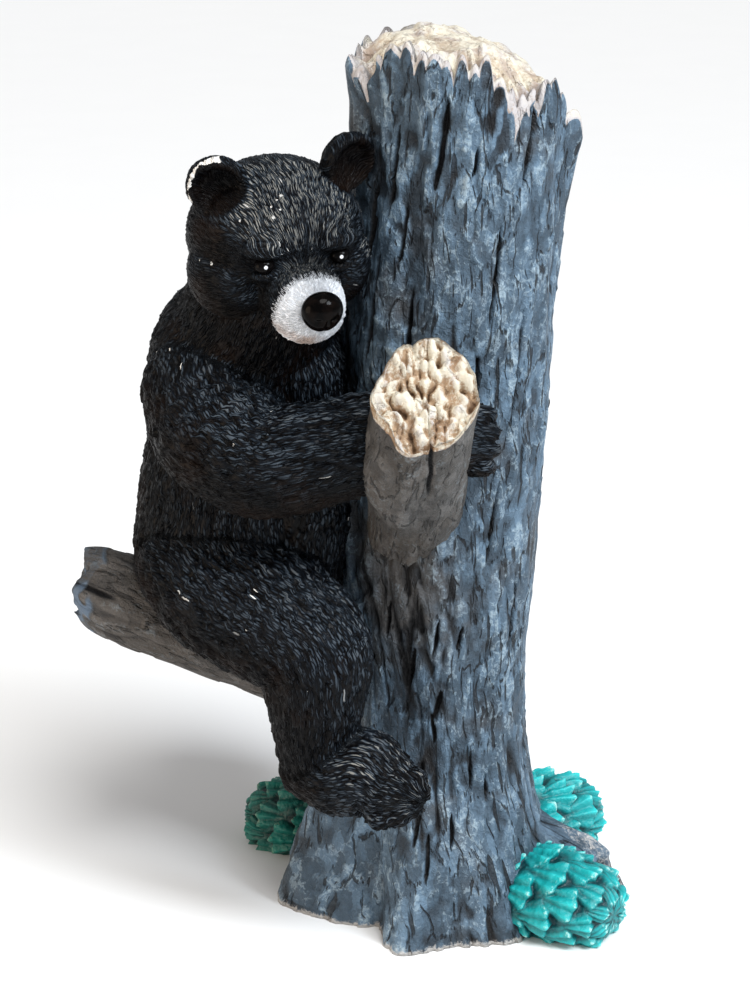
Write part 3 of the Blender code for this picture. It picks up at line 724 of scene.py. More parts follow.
def makeCone(s, seed):
    # a body of revolution on its side, lifted by its scales; its radius is a sine's power, fuller near the stalk
    turn = circle(coneSizes["around"])[None, :]
    share = np.linspace(0.015, 0.985, coneSizes["levels"])[:, None]
    lift, folds, rim = coneScales(turn, share, seed)
    girth = np.sin(math.pi * share) ** 0.62
    radius = s["thickness"] * girth * (1 + 0.12 * np.cos(math.pi * share))
    radius = radius + (coneSizes["lift"] * (lift - 0.5) + coneSizes["pleat"] * folds) * np.sqrt(girth)
    along = s["length"] * -np.cos(math.pi * share) + 1.6 * lift * girth
    tip, direction = math.radians(s["tip"]), math.radians(s["direction"])
    ahead = np.array([math.cos(tip), math.sin(tip), 0.0])
    side = np.array([-math.sin(tip), math.cos(tip), 0.0])
    place = s["distance"] * np.array([math.cos(direction), math.sin(direction), 0])
    place[2] = s["height"]
    rings = place + (along + 0 * turn)[..., None] * ahead + radius[..., None] * (
        np.cos(turn)[..., None] * side + np.sin(turn)[..., None] * (0, 0, s["flat"])
    )
    wobble = 0.9 * (cloudNoise(rings, 2.6, seed) - 0.5) + 0.5 * (cloudNoise(rings, 1.1, seed + 2) - 0.5)
    rings = rings + wobble[..., None] * unit(rings - place)
    rings[..., 2] = np.maximum(rings[..., 2], 0.02 + 0.03 * cloudNoise(rings, 5.0, seed + 1))
    shape = skin(rings)
    marks = marksOf(dict(lift=lift, folds=folds, rim=rim))
    return placed(s["name"], meshOf(s["name"], shape, marks))


# cub

# each ear has its side and its place across and up; the eyes have theirs across, up and out
cubSizes = dict(
    seat=56.0, standoff=1.6, headPlace=(-10.8, -15.9, 88.5), turn=22, nod=18, tilt=3, earLean=18,
    ears=((-1, -12.0, 12.8), (1, 12.9, 14.2)), eyes=(7.2, 3.0, 12.8), bodyGrain=0.40, headGrain=0.33,
    mostTriangles=dict(cub_body=198000, cub_head=180000),
)
cubOrigin = np.array([-trunkSizes["radius"] - cubSizes["standoff"], 0, cubSizes["seat"]])

# centre lines of the masses: x, y, z from the cub's seat, and the two half widths
torsoSpine = (
    (-22.6, 0, 11, 13, 13.4), (-22, 0, 14, 18.4, 18.8), (-21.4, 0, 21, 20.4, 21), (-20.7, 0, 32, 19.6, 20.0),
    (-19.4, 0, 44, 18.6, 18.6), (-19.0, -1, 54, 18.8, 19.0), (-18.1, -4, 63, 18.4, 18.4),
    (-15.6, -8, 71, 15.2, 15.6), (-12.5, -12, 79, 14.5, 14.5),
)
armPath = (
    (-23.6, -11, 57.5, 13.8, 14.2), (-21.5, -19, 52, 13.2, 13), (-13.5, -25, 48.5, 11, 10.8),
    (-3.5, -26.6, 50.4, 10, 8.9), (7.5, -25.8, 52.6, 9.6, 7.7), (16.5, -25.7, 53.3, 8.8, 7),
    (21.6, -24.8, 52.7, 7.4, 6.6),
)
legPath = (
    (-27.2, -8, 21.5, 13.6, 12.4), (-21.4, -15.5, 18.8, 14.4, 10.9), (-12.3, -21, 14.6, 13.4, 10.8),
    (-5.4, -23.2, 8.8, 12, 11.4), (-4.7, -23.8, 1.5, 10.3, 10.2), (-4.7, -23.2, -7, 8.7, 9),
    (-4.3, -23.2, -13, 7.9, 8), (-3.8, -23.8, -16.5, 7, 7),
)
solePath = (
    (-5.6, -22.8, -16.6, 6.6, 6.4), (-1, -25, -16.6, 8.4, 8.2), (5.2, -27.2, -15.4, 8.8, 8.2),
    (8.2, -28.6, -16.4, 7.8, 7.2),
)
bellyBalls = (((-7.0, -1, 32), (10, 17.5, 24)), ((-8.5, -5, 60), (10, 14.5, 13)))
toeSizes = dict(
    count=5, first=28, step=33, middle=(9.4, -30.2, -17.4), reach=(5.6, 5.2), out=0.5, half=(3.2, 2.8, 2.7),
)
fingerSizes = dict(count=4, top=(25.9, -25.4, 57.6), bow=0.9, bowTurn=1.1, out=0.5, step=3.2, half=(3.6, 2.9, 2.0))
# skull and brow: across, up and out from the head's middle, and half sizes
headBalls = (((-0.3, 0.8, -1.5), (16.6, 14.0, 15.2)), ((0, 6.0, 5.5), (11.4, 7.0, 8.0)))
# cheeks, eyebrows and lids on each side: across, a shift across that isn't mirrored, up, out, half sizes
headPairs = (
    (8.2, -0.4, -4.2, 1.8, (9.2, 9.0, 10.0)), (6.4, 0, 5.8, 11.0, (4.4, 2.0, 3.0)),
    (7.2, 0, 1.0, 12.6, (2.6, 1.0, 1.5)),
)
# centre lines on the head: up, out, and the two half widths
muzzlePath = ((-3.6, 6.0, 9.0, 8.2), (-4.2, 12.0, 7.9, 7.3), (-4.5, 16.2, 7.2, 6.8))
jawPath = ((-8.0, 4, 7.5, 5.0), (-8.9, 13.6, 5.2, 3.4))
# the back, rim and hollow of an ear: radius, depth
earProfile = (
    (0, -3.4), (2.6, -3.2), (4.6, -2.2), (5.6, -0.4), (5.7, 1.0), (5.1, 1.9), (4.2, 1.5), (3.2, 0.2), (0, -0.8),
)


def headAxes():
    # rows: to the cub's left, up, and out of its face
    turn, nod, tilt = (math.radians(cubSizes[key]) for key in ("turn", "nod", "tilt"))
    face = np.array([math.sin(turn) * math.cos(nod), -math.cos(turn) * math.cos(nod), -math.sin(nod)])
    level = np.array([math.cos(turn), math.sin(turn), 0])
    side = math.cos(tilt) * level + math.sin(tilt) * np.cross(face, level)
    return np.array([side, np.cross(face, side), face])


headFrame = headAxes()
headMiddle = np.array(cubSizes["headPlace"]) + cubOrigin


def onHead(side, up, out):
    # a place given across, up and out from the head's middle
    return np.array([side, up, out], float) @ headFrame + headMiddle


def inHead(points):
    # side, up and out of each point, from the head's middle
    return (points - headMiddle) @ headFrame.T


def cubToes():
    # balls on an arc at the front of the sole
    s = toeSizes
    x, y, z = s["middle"]
    wide, tall = s["reach"]
    for toe in range(s["count"]):
        turn = math.radians(s["first"] - s["step"] * toe)
        yield ball((x + wide * math.cos(turn), y - s["out"] * toe, z + tall * math.sin(turn)), s["half"])


def cubFingers():
    # balls one below the other at the end of the arm, bowed by a sine
    s = fingerSizes
    x, y, z = s["top"]
    for finger in range(s["count"]):
        bow = s["bow"] * math.sin(s["bowTurn"] * finger)
        yield ball((x + bow, y - s["out"] * finger, z - s["step"] * finger), s["half"])


def bodyMasses():
    # torso, belly and limbs; the limbs are the same on both sides
    limbs = [
        limb(armPath, np.array([0, 0, 1.0])), *cubFingers(),
        limb(legPath, np.array([1.0, 0, 0.4]), count=56),
        limb(solePath, np.array([0, 0, 1.0])), *cubToes(),
    ]
    torso = limb(torsoSpine, np.array([1.0, 0, 0]), around=56, count=60)
    belly = [ball(*row) for row in bellyBalls]
    points, quads, triangles = joined([torso, *belly, *limbs, *map(mirrored, limbs)])
    return points + cubOrigin, quads, triangles


def headMasses():
    # skull, brow, cheeks, lids, muzzle, jaw and ears
    a = headFrame
    shapes = [ball(onHead(*place), half, a) for place, half in headBalls]
    for side in (-1, 1):
        for across, shift, up, out, half in headPairs:
            shapes.append(ball(onHead(side * across + shift, up, out), half, a))
    for path in (muzzlePath, jawPath):
        shapes.append(limb([(*onHead(0, up, out), *halves) for up, out, *halves in path], a[0]))
    for side, across, up in cubSizes["ears"]:
        lean = math.radians(cubSizes["earLean"] * side)
        facing = unit(math.cos(lean) * a[2] + math.sin(lean) * a[0])
        sideways = unit(np.cross(a[1], facing))
        axes = np.array([sideways, np.cross(facing, sideways), facing])
        shapes.append(turned(earProfile, onHead(across, up, -1.0), axes))
    return joined(shapes)


def furLay(points, normals, lines):
    # the direction of the nearest masses' centre lines, weighed by how close their skins are, laid on the surface;
    # and each point's place on the nearest mass when that is rolled out straight
    total, place, nearest = np.zeros_like(points), np.zeros_like(points), np.full(len(points), np.inf)
    for index, (stations, side, sense) in enumerate(lines):
        rows = curveThrough(stations, 30)
        centres, thick = rows[:, :3], 0.5 * (rows[:, 3] + rows[:, 4])
        ahead = unit(np.gradient(centres, axis=0))
        square = (points**2).sum(axis=1)[:, None] - 2 * points @ centres.T + (centres**2).sum(axis=1)
        away = np.sqrt(np.maximum(square, 0)) / thick
        total += np.exp(-9 * (away - 1).clip(-0.4, 4)) @ (sense * ahead)
        station = away.argmin(axis=1)
        closest = away[np.arange(len(points)), station]
        out, up = squareTo(ahead, side)
        run = np.append(0, np.cumsum(np.linalg.norm(np.diff(centres, axis=0), axis=1)))
        delta = points - centres[station]
        turn = np.arctan2((delta * up[station]).sum(axis=1), (delta * out[station]).sum(axis=1))
        length = run[station] + (delta * ahead[station]).sum(axis=1)
        own = np.stack([thick.mean() * np.cos(turn) + 90 * index, thick.mean() * np.sin(turn), length], axis=1)
        here = closest < nearest
        place[here] = own[here]
        nearest[here] = closest[here]
    wander = np.stack([cloudNoise(points, 5.0, seed) for seed in (57, 58, 59)], axis=1) - 0.5
    return laidOn(total, normals), place + wander * (1.2, 1.2, 0.8)


def combed(points, normals, flow, s, seed, size=None):
    # locks of fur: each is a tapering ridge laid along the flow that rises to its tip, and the highest one shows;
    # size is each point's share of the full length
    random = np.random.default_rng(seed)
    roots = random.choice(len(points), s["count"], replace=False)
    size = np.ones(len(roots)) if size is None else size[roots]
    length = s["length"] * size * random.uniform(0.65, 1.3, len(roots))
    width = s["width"] * random.uniform(0.75, 1.25, len(roots)) * np.sqrt(size)
    rise = s["rise"] * random.uniform(0.55, 1.0, len(roots)) * np.sqrt(size)
    bend = random.normal(0, 0.05, len(roots))
    swing = random.normal(0, s["stray"], len(roots))[:, None]
    start, out = points[roots], normals[roots]
    ahead = unit(flow[roots] * np.cos(swing) + np.cross(out, flow[roots]) * np.sin(swing))
    across = np.cross(out, ahead)
    cell = 0.62 * s["length"] * 1.3
    corner = points.min(axis=0) - 2 * cell

    def key(cells):
        return (cells[:, 0] * 1009 + cells[:, 1]) * 1013 + cells[:, 2]

    rootKeys = key(((start - corner) / cell).astype(np.int64))
    order = np.argsort(rootKeys, kind="stable")
    rootKeys = rootKeys[order]
    own = ((points - corner) / cell).astype(np.int64)
    best = np.zeros(len(points))
    for step in np.ndindex(3, 3, 3):
        keys = key(own + np.array(step) - 1)
        low, high = np.searchsorted(rootKeys, keys, "left"), np.searchsorted(rootKeys, keys, "right")
        for turn in range(int((high - low).max(initial=0))):
            live = np.flatnonzero(low + turn < high)
            which = order[low[live] + turn]
            delta = points[live] - start[which]
            t = (delta * ahead[which]).sum(axis=1) / length[which] + 0.5
            inside = (t > 0) & (t < 1)
            live, which, delta, t = live[inside], which[inside], delta[inside], t[inside]
            along = (t - 0.5) * length[which]
            off = (delta * across[which]).sum(axis=1) - bend[which] * along**2
            half = width[which] * 1.35 * t**0.45 * (1 - t) ** 0.55
            level = np.abs((delta * out[which]).sum(axis=1)) < 1.6
            ridge = np.clip(1 - (off / np.maximum(half, 0.05)) ** 2, 0, 1) ** 0.6
            lock = rise[which] * (0.3 + 0.7 * t) * ridge * level
            best[live] = np.maximum(best[live], lock)
    return best


bodyFur = (
    dict(count=12000, length=5.2, width=0.95, rise=1.0, stray=0.2),
    dict(count=15000, length=2.6, width=0.5, rise=0.28, stray=0.3),
)
headFur = (
    dict(count=9000, length=3.6, width=0.62, rise=0.5, stray=0.18),
    dict(count=9000, length=1.9, width=0.4, rise=0.2, stray=0.3),
)


def coat(points, normals, flow, fur, seed, size):
    # long locks, shorter where the size says so, plus short hairs
    locks, hairs = fur
    return combed(points, normals, flow, locks, seed, size) + combed(points, normals, flow, hairs, seed + 1)


def furPiece(name, points, quads, marks):
    # the combed points with the faces and the marks of the paint
    empty = np.zeros((0, 3), int)
    return thinned(name, meshOf(name, (points, quads, empty), marks), cubSizes["mostTriangles"][name])


# paint losses and specks: x, y, z, half size
furChips = (
    (-31.8, -25.8, 154.8, 0.55), (-32.5, -26.7, 154.3, 0.4), (-33.5, -28.0, 153.3, 0.45), (-31.9, -28.5, 152.9, 0.4),
    (-33.1, -29.6, 151.7, 0.6), (-39.1, -28.2, 150.8, 0.45), (-36.5, -32.2, 145.7, 0.6), (-44.6, -27.0, 142.8, 0.6),
    (-46.7, -25.0, 142.9, 0.4), (-26.7, -28.9, 143.3, 0.5), (-49.7, -15.4, 131.9, 0.3), (-52.7, -24.2, 116.6, 0.4),
    (-53.0, -25.0, 114.7, 0.35), (-40.9, -33.1, 110.3, 0.45), (-49.1, -30.3, 108.0, 0.35), (-25.9, -36.3, 111.5, 0.4),
    (-24.6, -36.9, 110.7, 0.4), (-23.1, -37.4, 110.1, 0.4), (-18.6, -38.0, 111.3, 0.35), (-33.9, -35.4, 100.4, 0.35),
    (-46.8, -31.9, 106.2, 0.4), (-35.6, -36.1, 105.1, 0.35), (-37.5, -33.1, 66.9, 0.4), (-30.9, -34.1, 65.1, 0.4),
    (-29.4, -34.5, 64.8, 0.4), (-24.1, -34.5, 64.0, 0.4), (-29.8, -34.3, 62.5, 0.35), (-27.9, -34.6, 61.4, 0.4),
    (-27.7, -34.5, 59.2, 0.35), (-26.8, -34.2, 56.0, 0.4), (-11.5, -35.8, 41.1, 0.6), (-12.9, -35.8, 36.3, 0.55),
    (-10.0, -34.2, 32.6, 0.6), (-5.7, -33.6, 35.1, 0.5), (-32.8, -29.6, 37.4, 0.5), (-30.0, -31.3, 37.0, 0.45),
    (-20.6, -32.8, 33.2, 0.5),
)


def chipped(points, spots):
    # 1 at a spot's middle, falling by 1 over each half size, for the paint to cut at a half
    amount = np.full(len(points), -3.0)
    for x, y, z, size in spots:
        amount = np.maximum(amount, 1 - np.linalg.norm(points - (x, y, z), axis=1) / (1.15 * size))
    return amount.clip(-3, 1)


def litShare(normals):
    # how much a place faces the light, from above and the cub's left: painted light, and the dry brush that caught
    # the same tops
    return eased(-0.35, 0.95, normals @ unit(np.array([0.42, -0.25, 0.85])))


def makeBody():
    # the melted masses, swollen by noise and raised by long and short locks along the centre lines
    points, normals, quads = melted(bodyMasses(), cubSizes["bodyGrain"], 6)
    ends = (*cubOrigin, 0, 0)
    lines = [(np.array(torsoSpine) + ends, np.array([1.0, 0, 0]), -1)]
    for path, square in ((armPath, (0, 0, 1.0)), (legPath, (1.0, 0, 0.4)), (solePath, (0, 0, 1.0))):
        for side in (1, -1):
            lines.append(((np.array(path) + ends) * (1, side, 1, 1, 1), np.array(square), 1))
    flow, place = furLay(points, normals, lines)
    swell = cloudNoise(points, 7.0, 61) - 0.5
    points = points + 0.5 * swell[:, None] * normals
    local = points - cubOrigin
    foot = eased(-7.0, 3.0, local[:, 0]) * eased(-6.0, -11.0, local[:, 2])
    height = coat(points, normals, flow, bodyFur, 62, 1 - 0.6 * foot * eased(2.0, 9.0, local[:, 0]))
    points = points + (height - 0.6)[:, None] * normals
    chips = chipped(points, furChips)
    place = 0.92 * place
    # the pale share of the body: painted light on the sides that face the lamp, with dry brush, and more of both on
    # the foot's top
    paleShare = 0.62 * litShare(normals) + 0.48 * foot
    marks = dict(tip=height, chip=chips, white=0 * height - 3, paleShare=paleShare, fur=place)
    return furPiece("cub_body", points, quads, marks)


def makeHead():
    # the melted masses raised by locks that run from the parting, with the marks of the paint laid on them
    points, normals, quads = melted(headMasses(), cubSizes["headGrain"], 6)
    place = inHead(points)
    # the fur parts at the bridge of the nose, and on the muzzle it runs back from the nose
    forward = eased(11.0, 16.5, place[:, 2])[:, None]
    rays = place - ((1 - forward) * np.array([0, 2.0, 12.0]) + forward * np.array([0, -1.0, 24.5]))
    flow = laidOn(rays @ headFrame, normals)
    turn = np.arctan2(rays[:, 1], rays[:, 0]) + 0.16 * (cloudNoise(points, 4.0, 69) - 0.5)
    laid = np.stack([21 * np.cos(turn), 21 * np.sin(turn), 21 * np.log(np.linalg.norm(rays, axis=1) + 2)], axis=1)
    height = coat(points, normals, flow, headFur, 72, np.where(place[:, 2] > 11, 0.6, 1.0))
    # the ears' hollows, the eye hollows and the nose's seat stay smooth
    across, up, out = cubSizes["eyes"]
    eyeAway = np.minimum(*(np.linalg.norm(place - (side * across, up, out), axis=1) for side in (1, -1)))
    noseAway = np.linalg.norm((place - (0, -1.0, 23.4)) / (4.4, 4.3, 3.4), axis=1)
    smooth = eased(1.9, 3.2, eyeAway) * eased(0.95, 1.25, noseAway)
    height = height * smooth
    points = points + (height - 0.34 * smooth)[:, None] * normals
    border = 13.4 + 0.65 * np.clip(place[:, 1] + 3.0, 0, 9) + 0.32 * np.clip(-place[:, 0] - 2.0, 0, 9) ** 1.6
    white = (0.5 + 0.35 * (place[:, 2] - border)).clip(-1, 2)
    chips = chipped(points, furChips)
    # bare white on the rim of the ear that stands free
    _, earAcross, earUp = cubSizes["ears"][0]
    earRim = np.linalg.norm(place - (earAcross, earUp, -1.0), axis=1)
    clock = np.degrees(np.arctan2(place[:, 1] - earUp, place[:, 0] - earAcross))
    wide = 0.26 + 0.75 * np.exp(-(((clock - 172) / 26) ** 2))
    rim = 1 - np.abs(earRim - 5.6) / wide / 1.5 - 2 * np.clip(np.abs(place[:, 2] - 0.4) - 1.4, 0, 2)
    rim = rim - 0.1 * np.clip(np.abs(np.where(clock < -90, clock + 360, clock) - 152) - 60, 0, 30)
    rim = rim - 0.9 * (cloudNoise(points, 1.4, 76) - 0.35)
    bridge = np.exp(-((place[:, 0] / 5.5) ** 2) - ((place[:, 1] - 1.5) / 3.0) ** 2) * eased(10.0, 13.0, place[:, 2])
    forehead = eased(3.0, 9.0, place[:, 1]) * eased(-14.0, 1.0, place[:, 2]) * eased(18.0, 7.0, np.abs(place[:, 0]))
    earAway = np.minimum(*(np.linalg.norm(place - (across, up, -0.5), axis=1) for _, across, up in cubSizes["ears"]))
    parting = np.exp(-(((place[:, 0] - 0.3) / 0.45) ** 2))
    parting = parting * eased(2.5, 5.0, place[:, 1]) * eased(16.0, 9.0, place[:, 1])
    # the pale share of the head: painted light on the sides that face the lamp, with dry brush, strongest on the
    # bridge and the forehead; none in the ears and little on the parting
    paleShare = np.maximum(0.75 * litShare(normals), np.maximum(1.5 * bridge, 1.45 * forehead))
    paleShare = (paleShare + 0.7 * (cloudNoise(points, 5.5, 77) - 0.5)) * eased(5.0, 6.3, earAway) * (1 - 0.8 * parting)
    marks = dict(tip=height / 0.6, chip=np.maximum(chips, rim.clip(-3, 1)), white=white, paleShare=paleShare, fur=laid)
    return furPiece("cub_head", points, quads, marks)


# places are across, up and out from the head's middle; bend is how near to its poles the grid comes, in degrees
noseSizes = dict(place=(0, -1.0, 23.5), half=(3.85, 3.75, 3.1), drawnIn=0.14, bend=89, levels=60, around=72)
eyeSizes = dict(place=(7.2, 3.0, 12.35), half=(1.9, 1.5, 1.6), glint=(-0.2, 0.45, 1.5), bend=88, levels=50, around=60)


def ballGrid(s):
    # x, y and z of the rings of a unit ball, its poles left open
    bend = np.radians(np.linspace(-s["bend"], s["bend"], s["levels"]))[:, None]
    turn = circle(s["around"])[None, :]
    return np.cos(bend) * np.cos(turn), np.cos(bend) * np.sin(turn), np.sin(bend) + 0 * turn


def makeNose():
    # a flattened ball, drawn in at the two nostrils and along the groove between them, all bell-shaped
    s = noseSizes
    x, y, z = ballGrid(s)
    groove = 0.5 * np.exp(-((x / 0.10) ** 2)) * eased(0.25, -0.35, y) * eased(0.2, 0.8, z)
    nostrils = 0
    for side in (-1, 1):
        nostrils = nostrils + 0.9 * np.exp(-(((x - 0.42 * side) / 0.2) ** 2 + ((y + 0.12) / 0.16) ** 2)) * (z > 0)
    swell = 1 - s["drawnIn"] * (groove + nostrils)
    width, height, depth = s["half"]
    local = np.stack([x * width * swell, (y * height + 0.25 * x**2) * swell, z * depth * swell], axis=-1)
    rings = local @ headFrame + onHead(*s["place"])
    return placed("nose", meshOf("nose", skin(rings)))


def makeEye(name, side):
    # a stretched ball, with one dot of white as a painted highlight
    s = eyeSizes
    across, up, out = s["place"]
    ring = np.stack(ballGrid(s), axis=-1) * s["half"]
    away = np.linalg.norm(ring - s["glint"], axis=-1)
    rings = ring @ headFrame + onHead(side * across, up, out)
    glint = marksOf(dict(glint=eased(0.38, 0.28, away)))
    return placed(name, meshOf(name, skin(rings), glint))


# paints

# navy is a painted reflection of cool light and blue a painted highlight; brown is partly the paint's own tone and
# partly painted warm shade, and the ochre and the darker brown on the muzzle are painted warm shade
furColours = dict(
    black=(0.0012, 0.0010, 0.0012), tip=(0.240, 0.235, 0.215), blue=(0.050, 0.064, 0.080),
    navy=(0.009, 0.0135, 0.020), brown=(0.011, 0.0055, 0.003), white=(0.90, 0.93, 0.98),
    shade=(0.30, 0.36, 0.46), ochre=(0.36, 0.19, 0.09), warmShade=(0.22, 0.085, 0.03), chip=(0.80, 0.78, 0.74),
)


def furPaint():
    # black, with brown in random patches that is partly the paint's own tone and partly painted warm shade away from
    # the light;
    # navy as a painted reflection of cool light and blue strokes as painted highlights where the light falls; ivory
    # strokes of dry brush, made brighter there as a painted highlight; painted glints; a white muzzle with painted
    # warm shade on its lower edges; and bare chips
    p = Paint("fur_paint", Specular_IOR_Level=0.09)
    c = furColours
    tip, chip, white, paleShare = p.mark("tip"), p.mark("chip"), p.mark("white"), p.mark("paleShare")
    patches, fine = p.noise(9.0, 3), p.noise(0.7, 2, 0.6)
    away, chance, gap = p.cells(0.42, (1, 1, 5.0), "fur", 0.3)
    hair = (0.82 - away).between(0.05, 0.62) * gap.between(0.0, 0.12)
    strands = p.noise(0.45, 1.0, 0.5, stretch=(1, 1, 6.0), on="fur")
    raised = hair * (0.40 + 0.50 * chance) + 0.45 * tip + 0.5 * (strands - 0.5)
    # brown: the paint's own tone in patches, and painted warm shade where the pale share is low, away from the light
    colour = p.mixed((patches - 0.4 * paleShare).between(0.40, 0.70) * 0.6, c["black"], c["brown"])
    # navy on the strokes where the light falls: a painted reflection of cool light
    colour = p.mixed(raised.between(0.15, 0.7) * paleShare.between(-0.1, 0.7), colour, c["navy"])
    # blue strokes: painted highlights on the side that faces the light
    stroke = (raised + 0.3 * paleShare + 0.4 * (patches - 0.5)).between(0.72, 1.08)
    colour = p.mixed(stroke * paleShare.between(-0.1, 0.7), colour, c["blue"])
    # ivory strokes of dry brush, strongest where the light falls, so partly painted highlight
    ivory = (raised + 0.25 * paleShare + 0.2 * (patches - 0.5)).between(0.95, 1.30)
    colour = p.mixed(ivory * paleShare.between(0.45, 1.0), colour, c["tip"])
    # painted glints: rare white strokes on the side that faces the light
    paintedGlint = hair.between(0.55, 0.75) * chance.between(0.9955, 0.9975) * paleShare.between(0.0, 0.3)
    colour = p.mixed(paintedGlint, colour, c["chip"])
    # painted warm shade: ochre on the muzzle's white away from the light
    paintedShade = (0.10 - 1.5 * paleShare + 0.4 * (p.noise(3.0, 2) - 0.5)).between(0.0, 0.30) * 0.7
    whiteAndShade = p.mixed(paintedShade, c["white"], c["ochre"])
    pale = p.mixed((0.9 * hair + 0.6 * strands + 0.3 * tip).between(0.10, 0.50), c["shade"], whiteAndShade)
    muzzle = (white + 0.7 * (hair - 0.4) + 0.5 * (strands - 0.5) + 0.4 * (tip - 0.5)).between(0.42, 0.60)
    # painted warm shade: darker brown along the muzzle's edge on the side away from the light
    below = (0.2 - 1.5 * paleShare + 0.4 * (fine - 0.5)).between(0.0, 0.3)
    colour = p.mixed((white + 0.5 * (strands - 0.5)).between(0.05, 0.35) * below * 0.6, colour, c["warmShade"])
    colour = p.mixed(muzzle, colour, pale)
    colour = p.mixed((chip + 0.4 * (strands - 0.5) + 0.6 * (fine - 0.5)).between(0.44, 0.54), colour, c["chip"])
    roughness = 0.30 + 0.15 * patches + 0.25 * muzzle
    return p.surface(colour, roughness, hair * 0.8 + strands * 0.6, 0.4)


def nosePaint():
    # glossy black with a brown mottle
    p = Paint("nose_paint", Specular_IOR_Level=0.05)
    mottle = p.noise(1.6, 3)
    colour = p.mixed(mottle.between(0.4, 0.7), (0.001, 0.0008, 0.0008), (0.004, 0.0025, 0.002))
    return p.surface(colour, 0.08 + 0.05 * mottle, p.noise(0.5, 2), 0.02)


def eyePaint():
    # glossy black with the mesh's dot in white, a painted highlight
    p = Paint("eye_paint", Specular_IOR_Level=0.06)
    mottle = p.noise(1.2, 2)
    colour = p.mixed(mottle, (0.001, 0.001, 0.001), (0.004, 0.003, 0.003))
    colour = p.mixed(p.mark("glint"), colour, (0.82, 0.84, 0.88))
    return p.surface(colour, 0.12 + 0.08 * mottle)


barkColours = dict(
    slate=(0.068, 0.108, 0.151), deep=(0.006, 0.006, 0.007), pale=(0.330, 0.420, 0.480),
    brown=(0.065, 0.053, 0.042), cream=(0.66, 0.61, 0.50), lilac=(0.40, 0.38, 0.42),
    ochre=(0.27, 0.15, 0.065), umber=(0.07, 0.032, 0.013), chip=(0.50, 0.47, 0.44),
)


def barkPaint(name, slate, brownShare, ochreShare, brushed, wood, band, blur=0.08):
    # slate in lights and darks, browned at random and with painted shade under the stub's root, cut by dark strokes
    # and brushed pale on what stands out; wood is the paint of the broken end, band that of the edge round it, and
    # blur the softness of the line between bark and wood
    p = Paint(name, Specular_IOR_Level=0.3)
    c = barkColours
    dim, light = (tuple(share * level for level in slate) for share in (0.62, 1.65))
    cream, ridge, worn, paintedShade = p.mark("cream"), p.mark("ridge"), p.mark("worn"), p.mark("paintedShade")
    broad, patches, fine = p.noise(14.0, 3), p.noise(3.0, 4, 0.6, stretch=(1, 1, 2.2)), p.noise(0.7, 3, 0.65)
    crumbs = p.noise(1.0, 3.0, 0.6, twist=1.0)
    fibres = p.noise(0.5, 2.0, 0.6, stretch=(1, 1, 7.0), on="grain")
    away, chance, gap = p.cells(1.8, (1, 1, 2.4), "grain", 0.7)
    _, plateChance, plateGap = p.cells(4.2, (1, 1, 3.4), "grain", 0.5)
    scars = p.noise(1.5, 2.0, 0.5, stretch=(1, 1, 7.0), twist=0.4, on="grain")
    cuts = (0.5 - scars).between(0.13, 0.19)
    cracks = (0.045 - plateGap).between(0.0, 0.03) * (fibres + 0.8 * (patches - 0.5)).between(0.48, 0.60)
    flakes = 0.55 * chance + 0.45 * plateChance - 0.35 * away
    level = flakes + 0.9 * (patches - 0.5) + 0.25 * ridge + 0.6 * (crumbs - 0.5)
    body = p.mixed(level.between(-0.10, 0.85), dim, light)
    # brown at random, and more of it as painted shade under the stub's root
    brown = (broad + 0.3 * (patches - 0.5) + 0.5 * paintedShade).between(0.52 - brownShare, 0.80 - brownShare)
    body = p.mixed(brown * (0.6 + 0.2 * paintedShade), body, c["brown"])
    body = p.mixed((ridge + 0.4 * (patches - 0.5)).between(-0.35, -1.0) * 0.7, body, c["deep"])
    crests = (0.09 - gap).between(0.0, 0.06) * (crumbs + 0.6 * (patches - 0.5) + 0.2 * ridge).between(0.46, 0.60)
    dry = (crumbs + 0.6 * (patches - 0.5) + 0.3 * (flakes - 0.3) + 0.15 * ridge).between(0.58, 0.84)
    paleShare = (0.4 * crests).most(0.75 * dry) * (broad + 0.3 * ridge).between(0.30, 0.58)
    # less pale paint where the painted shade lies
    body = p.mixed(paleShare * brushed * (1 - 0.7 * paintedShade), body, c["pale"])
    body = p.mixed(cuts.most(cracks) * (0.25 + 0.6 * brushed), body, c["deep"])
    body = p.mixed((0 - ridge).between(0.9, 1.4), body, c["deep"])
    edge = (worn + 0.9 * (crumbs - 0.5) + 0.4 * (patches - 0.5)).between(0.50, 0.80)
    body = p.mixed(edge * 0.8, body, c["chip"])
    banded = (0.95 - cream + 0.5 * (patches - 0.5)).between(0.0, 0.18)
    broken = p.mixed((0.6 * (patches + 0.3 * (broad - 0.5)).between(0.45, 0.70)).most(0.7 * banded), wood, band)
    hollow = (0 - ridge + 1.6 * (crumbs - 0.5) + 1.6 * (fine - 0.5) + 1.2 * (patches - 0.5)).between(-0.38, 0.45)
    broken = p.mixed(hollow * ochreShare, broken, c["ochre"])
    deepest = (0 - ridge + 0.9 * (crumbs - 0.5) + 0.8 * (fine - 0.5)).between(0.45, 0.95)
    broken = p.mixed(deepest * ochreShare, broken, c["umber"])
    covered = cream + 0.5 * (fibres - 0.5) + 0.5 * (crumbs - 0.5) - 2 * (blur - 0.08) * (0.75 - patches)
    colour = p.mixed(covered.between(0.44 - blur, 0.44 + blur), body, broken)
    roughness = 0.46 + 0.2 * patches + 0.1 * cream
    height = flakes * 0.55 + crumbs * 0.6 + fibres * 0.3 + fine * 0.2 - cuts.most(cracks) * 0.7
    return p.surface(colour, roughness, height * (1 - 0.65 * cream), 0.9)


coneColours = dict(
    teal=(0.004, 0.300, 0.310), deep=(0.001, 0.030, 0.038), bright=(0.020, 0.560, 0.560), cream=(0.50, 0.74, 0.68),
)


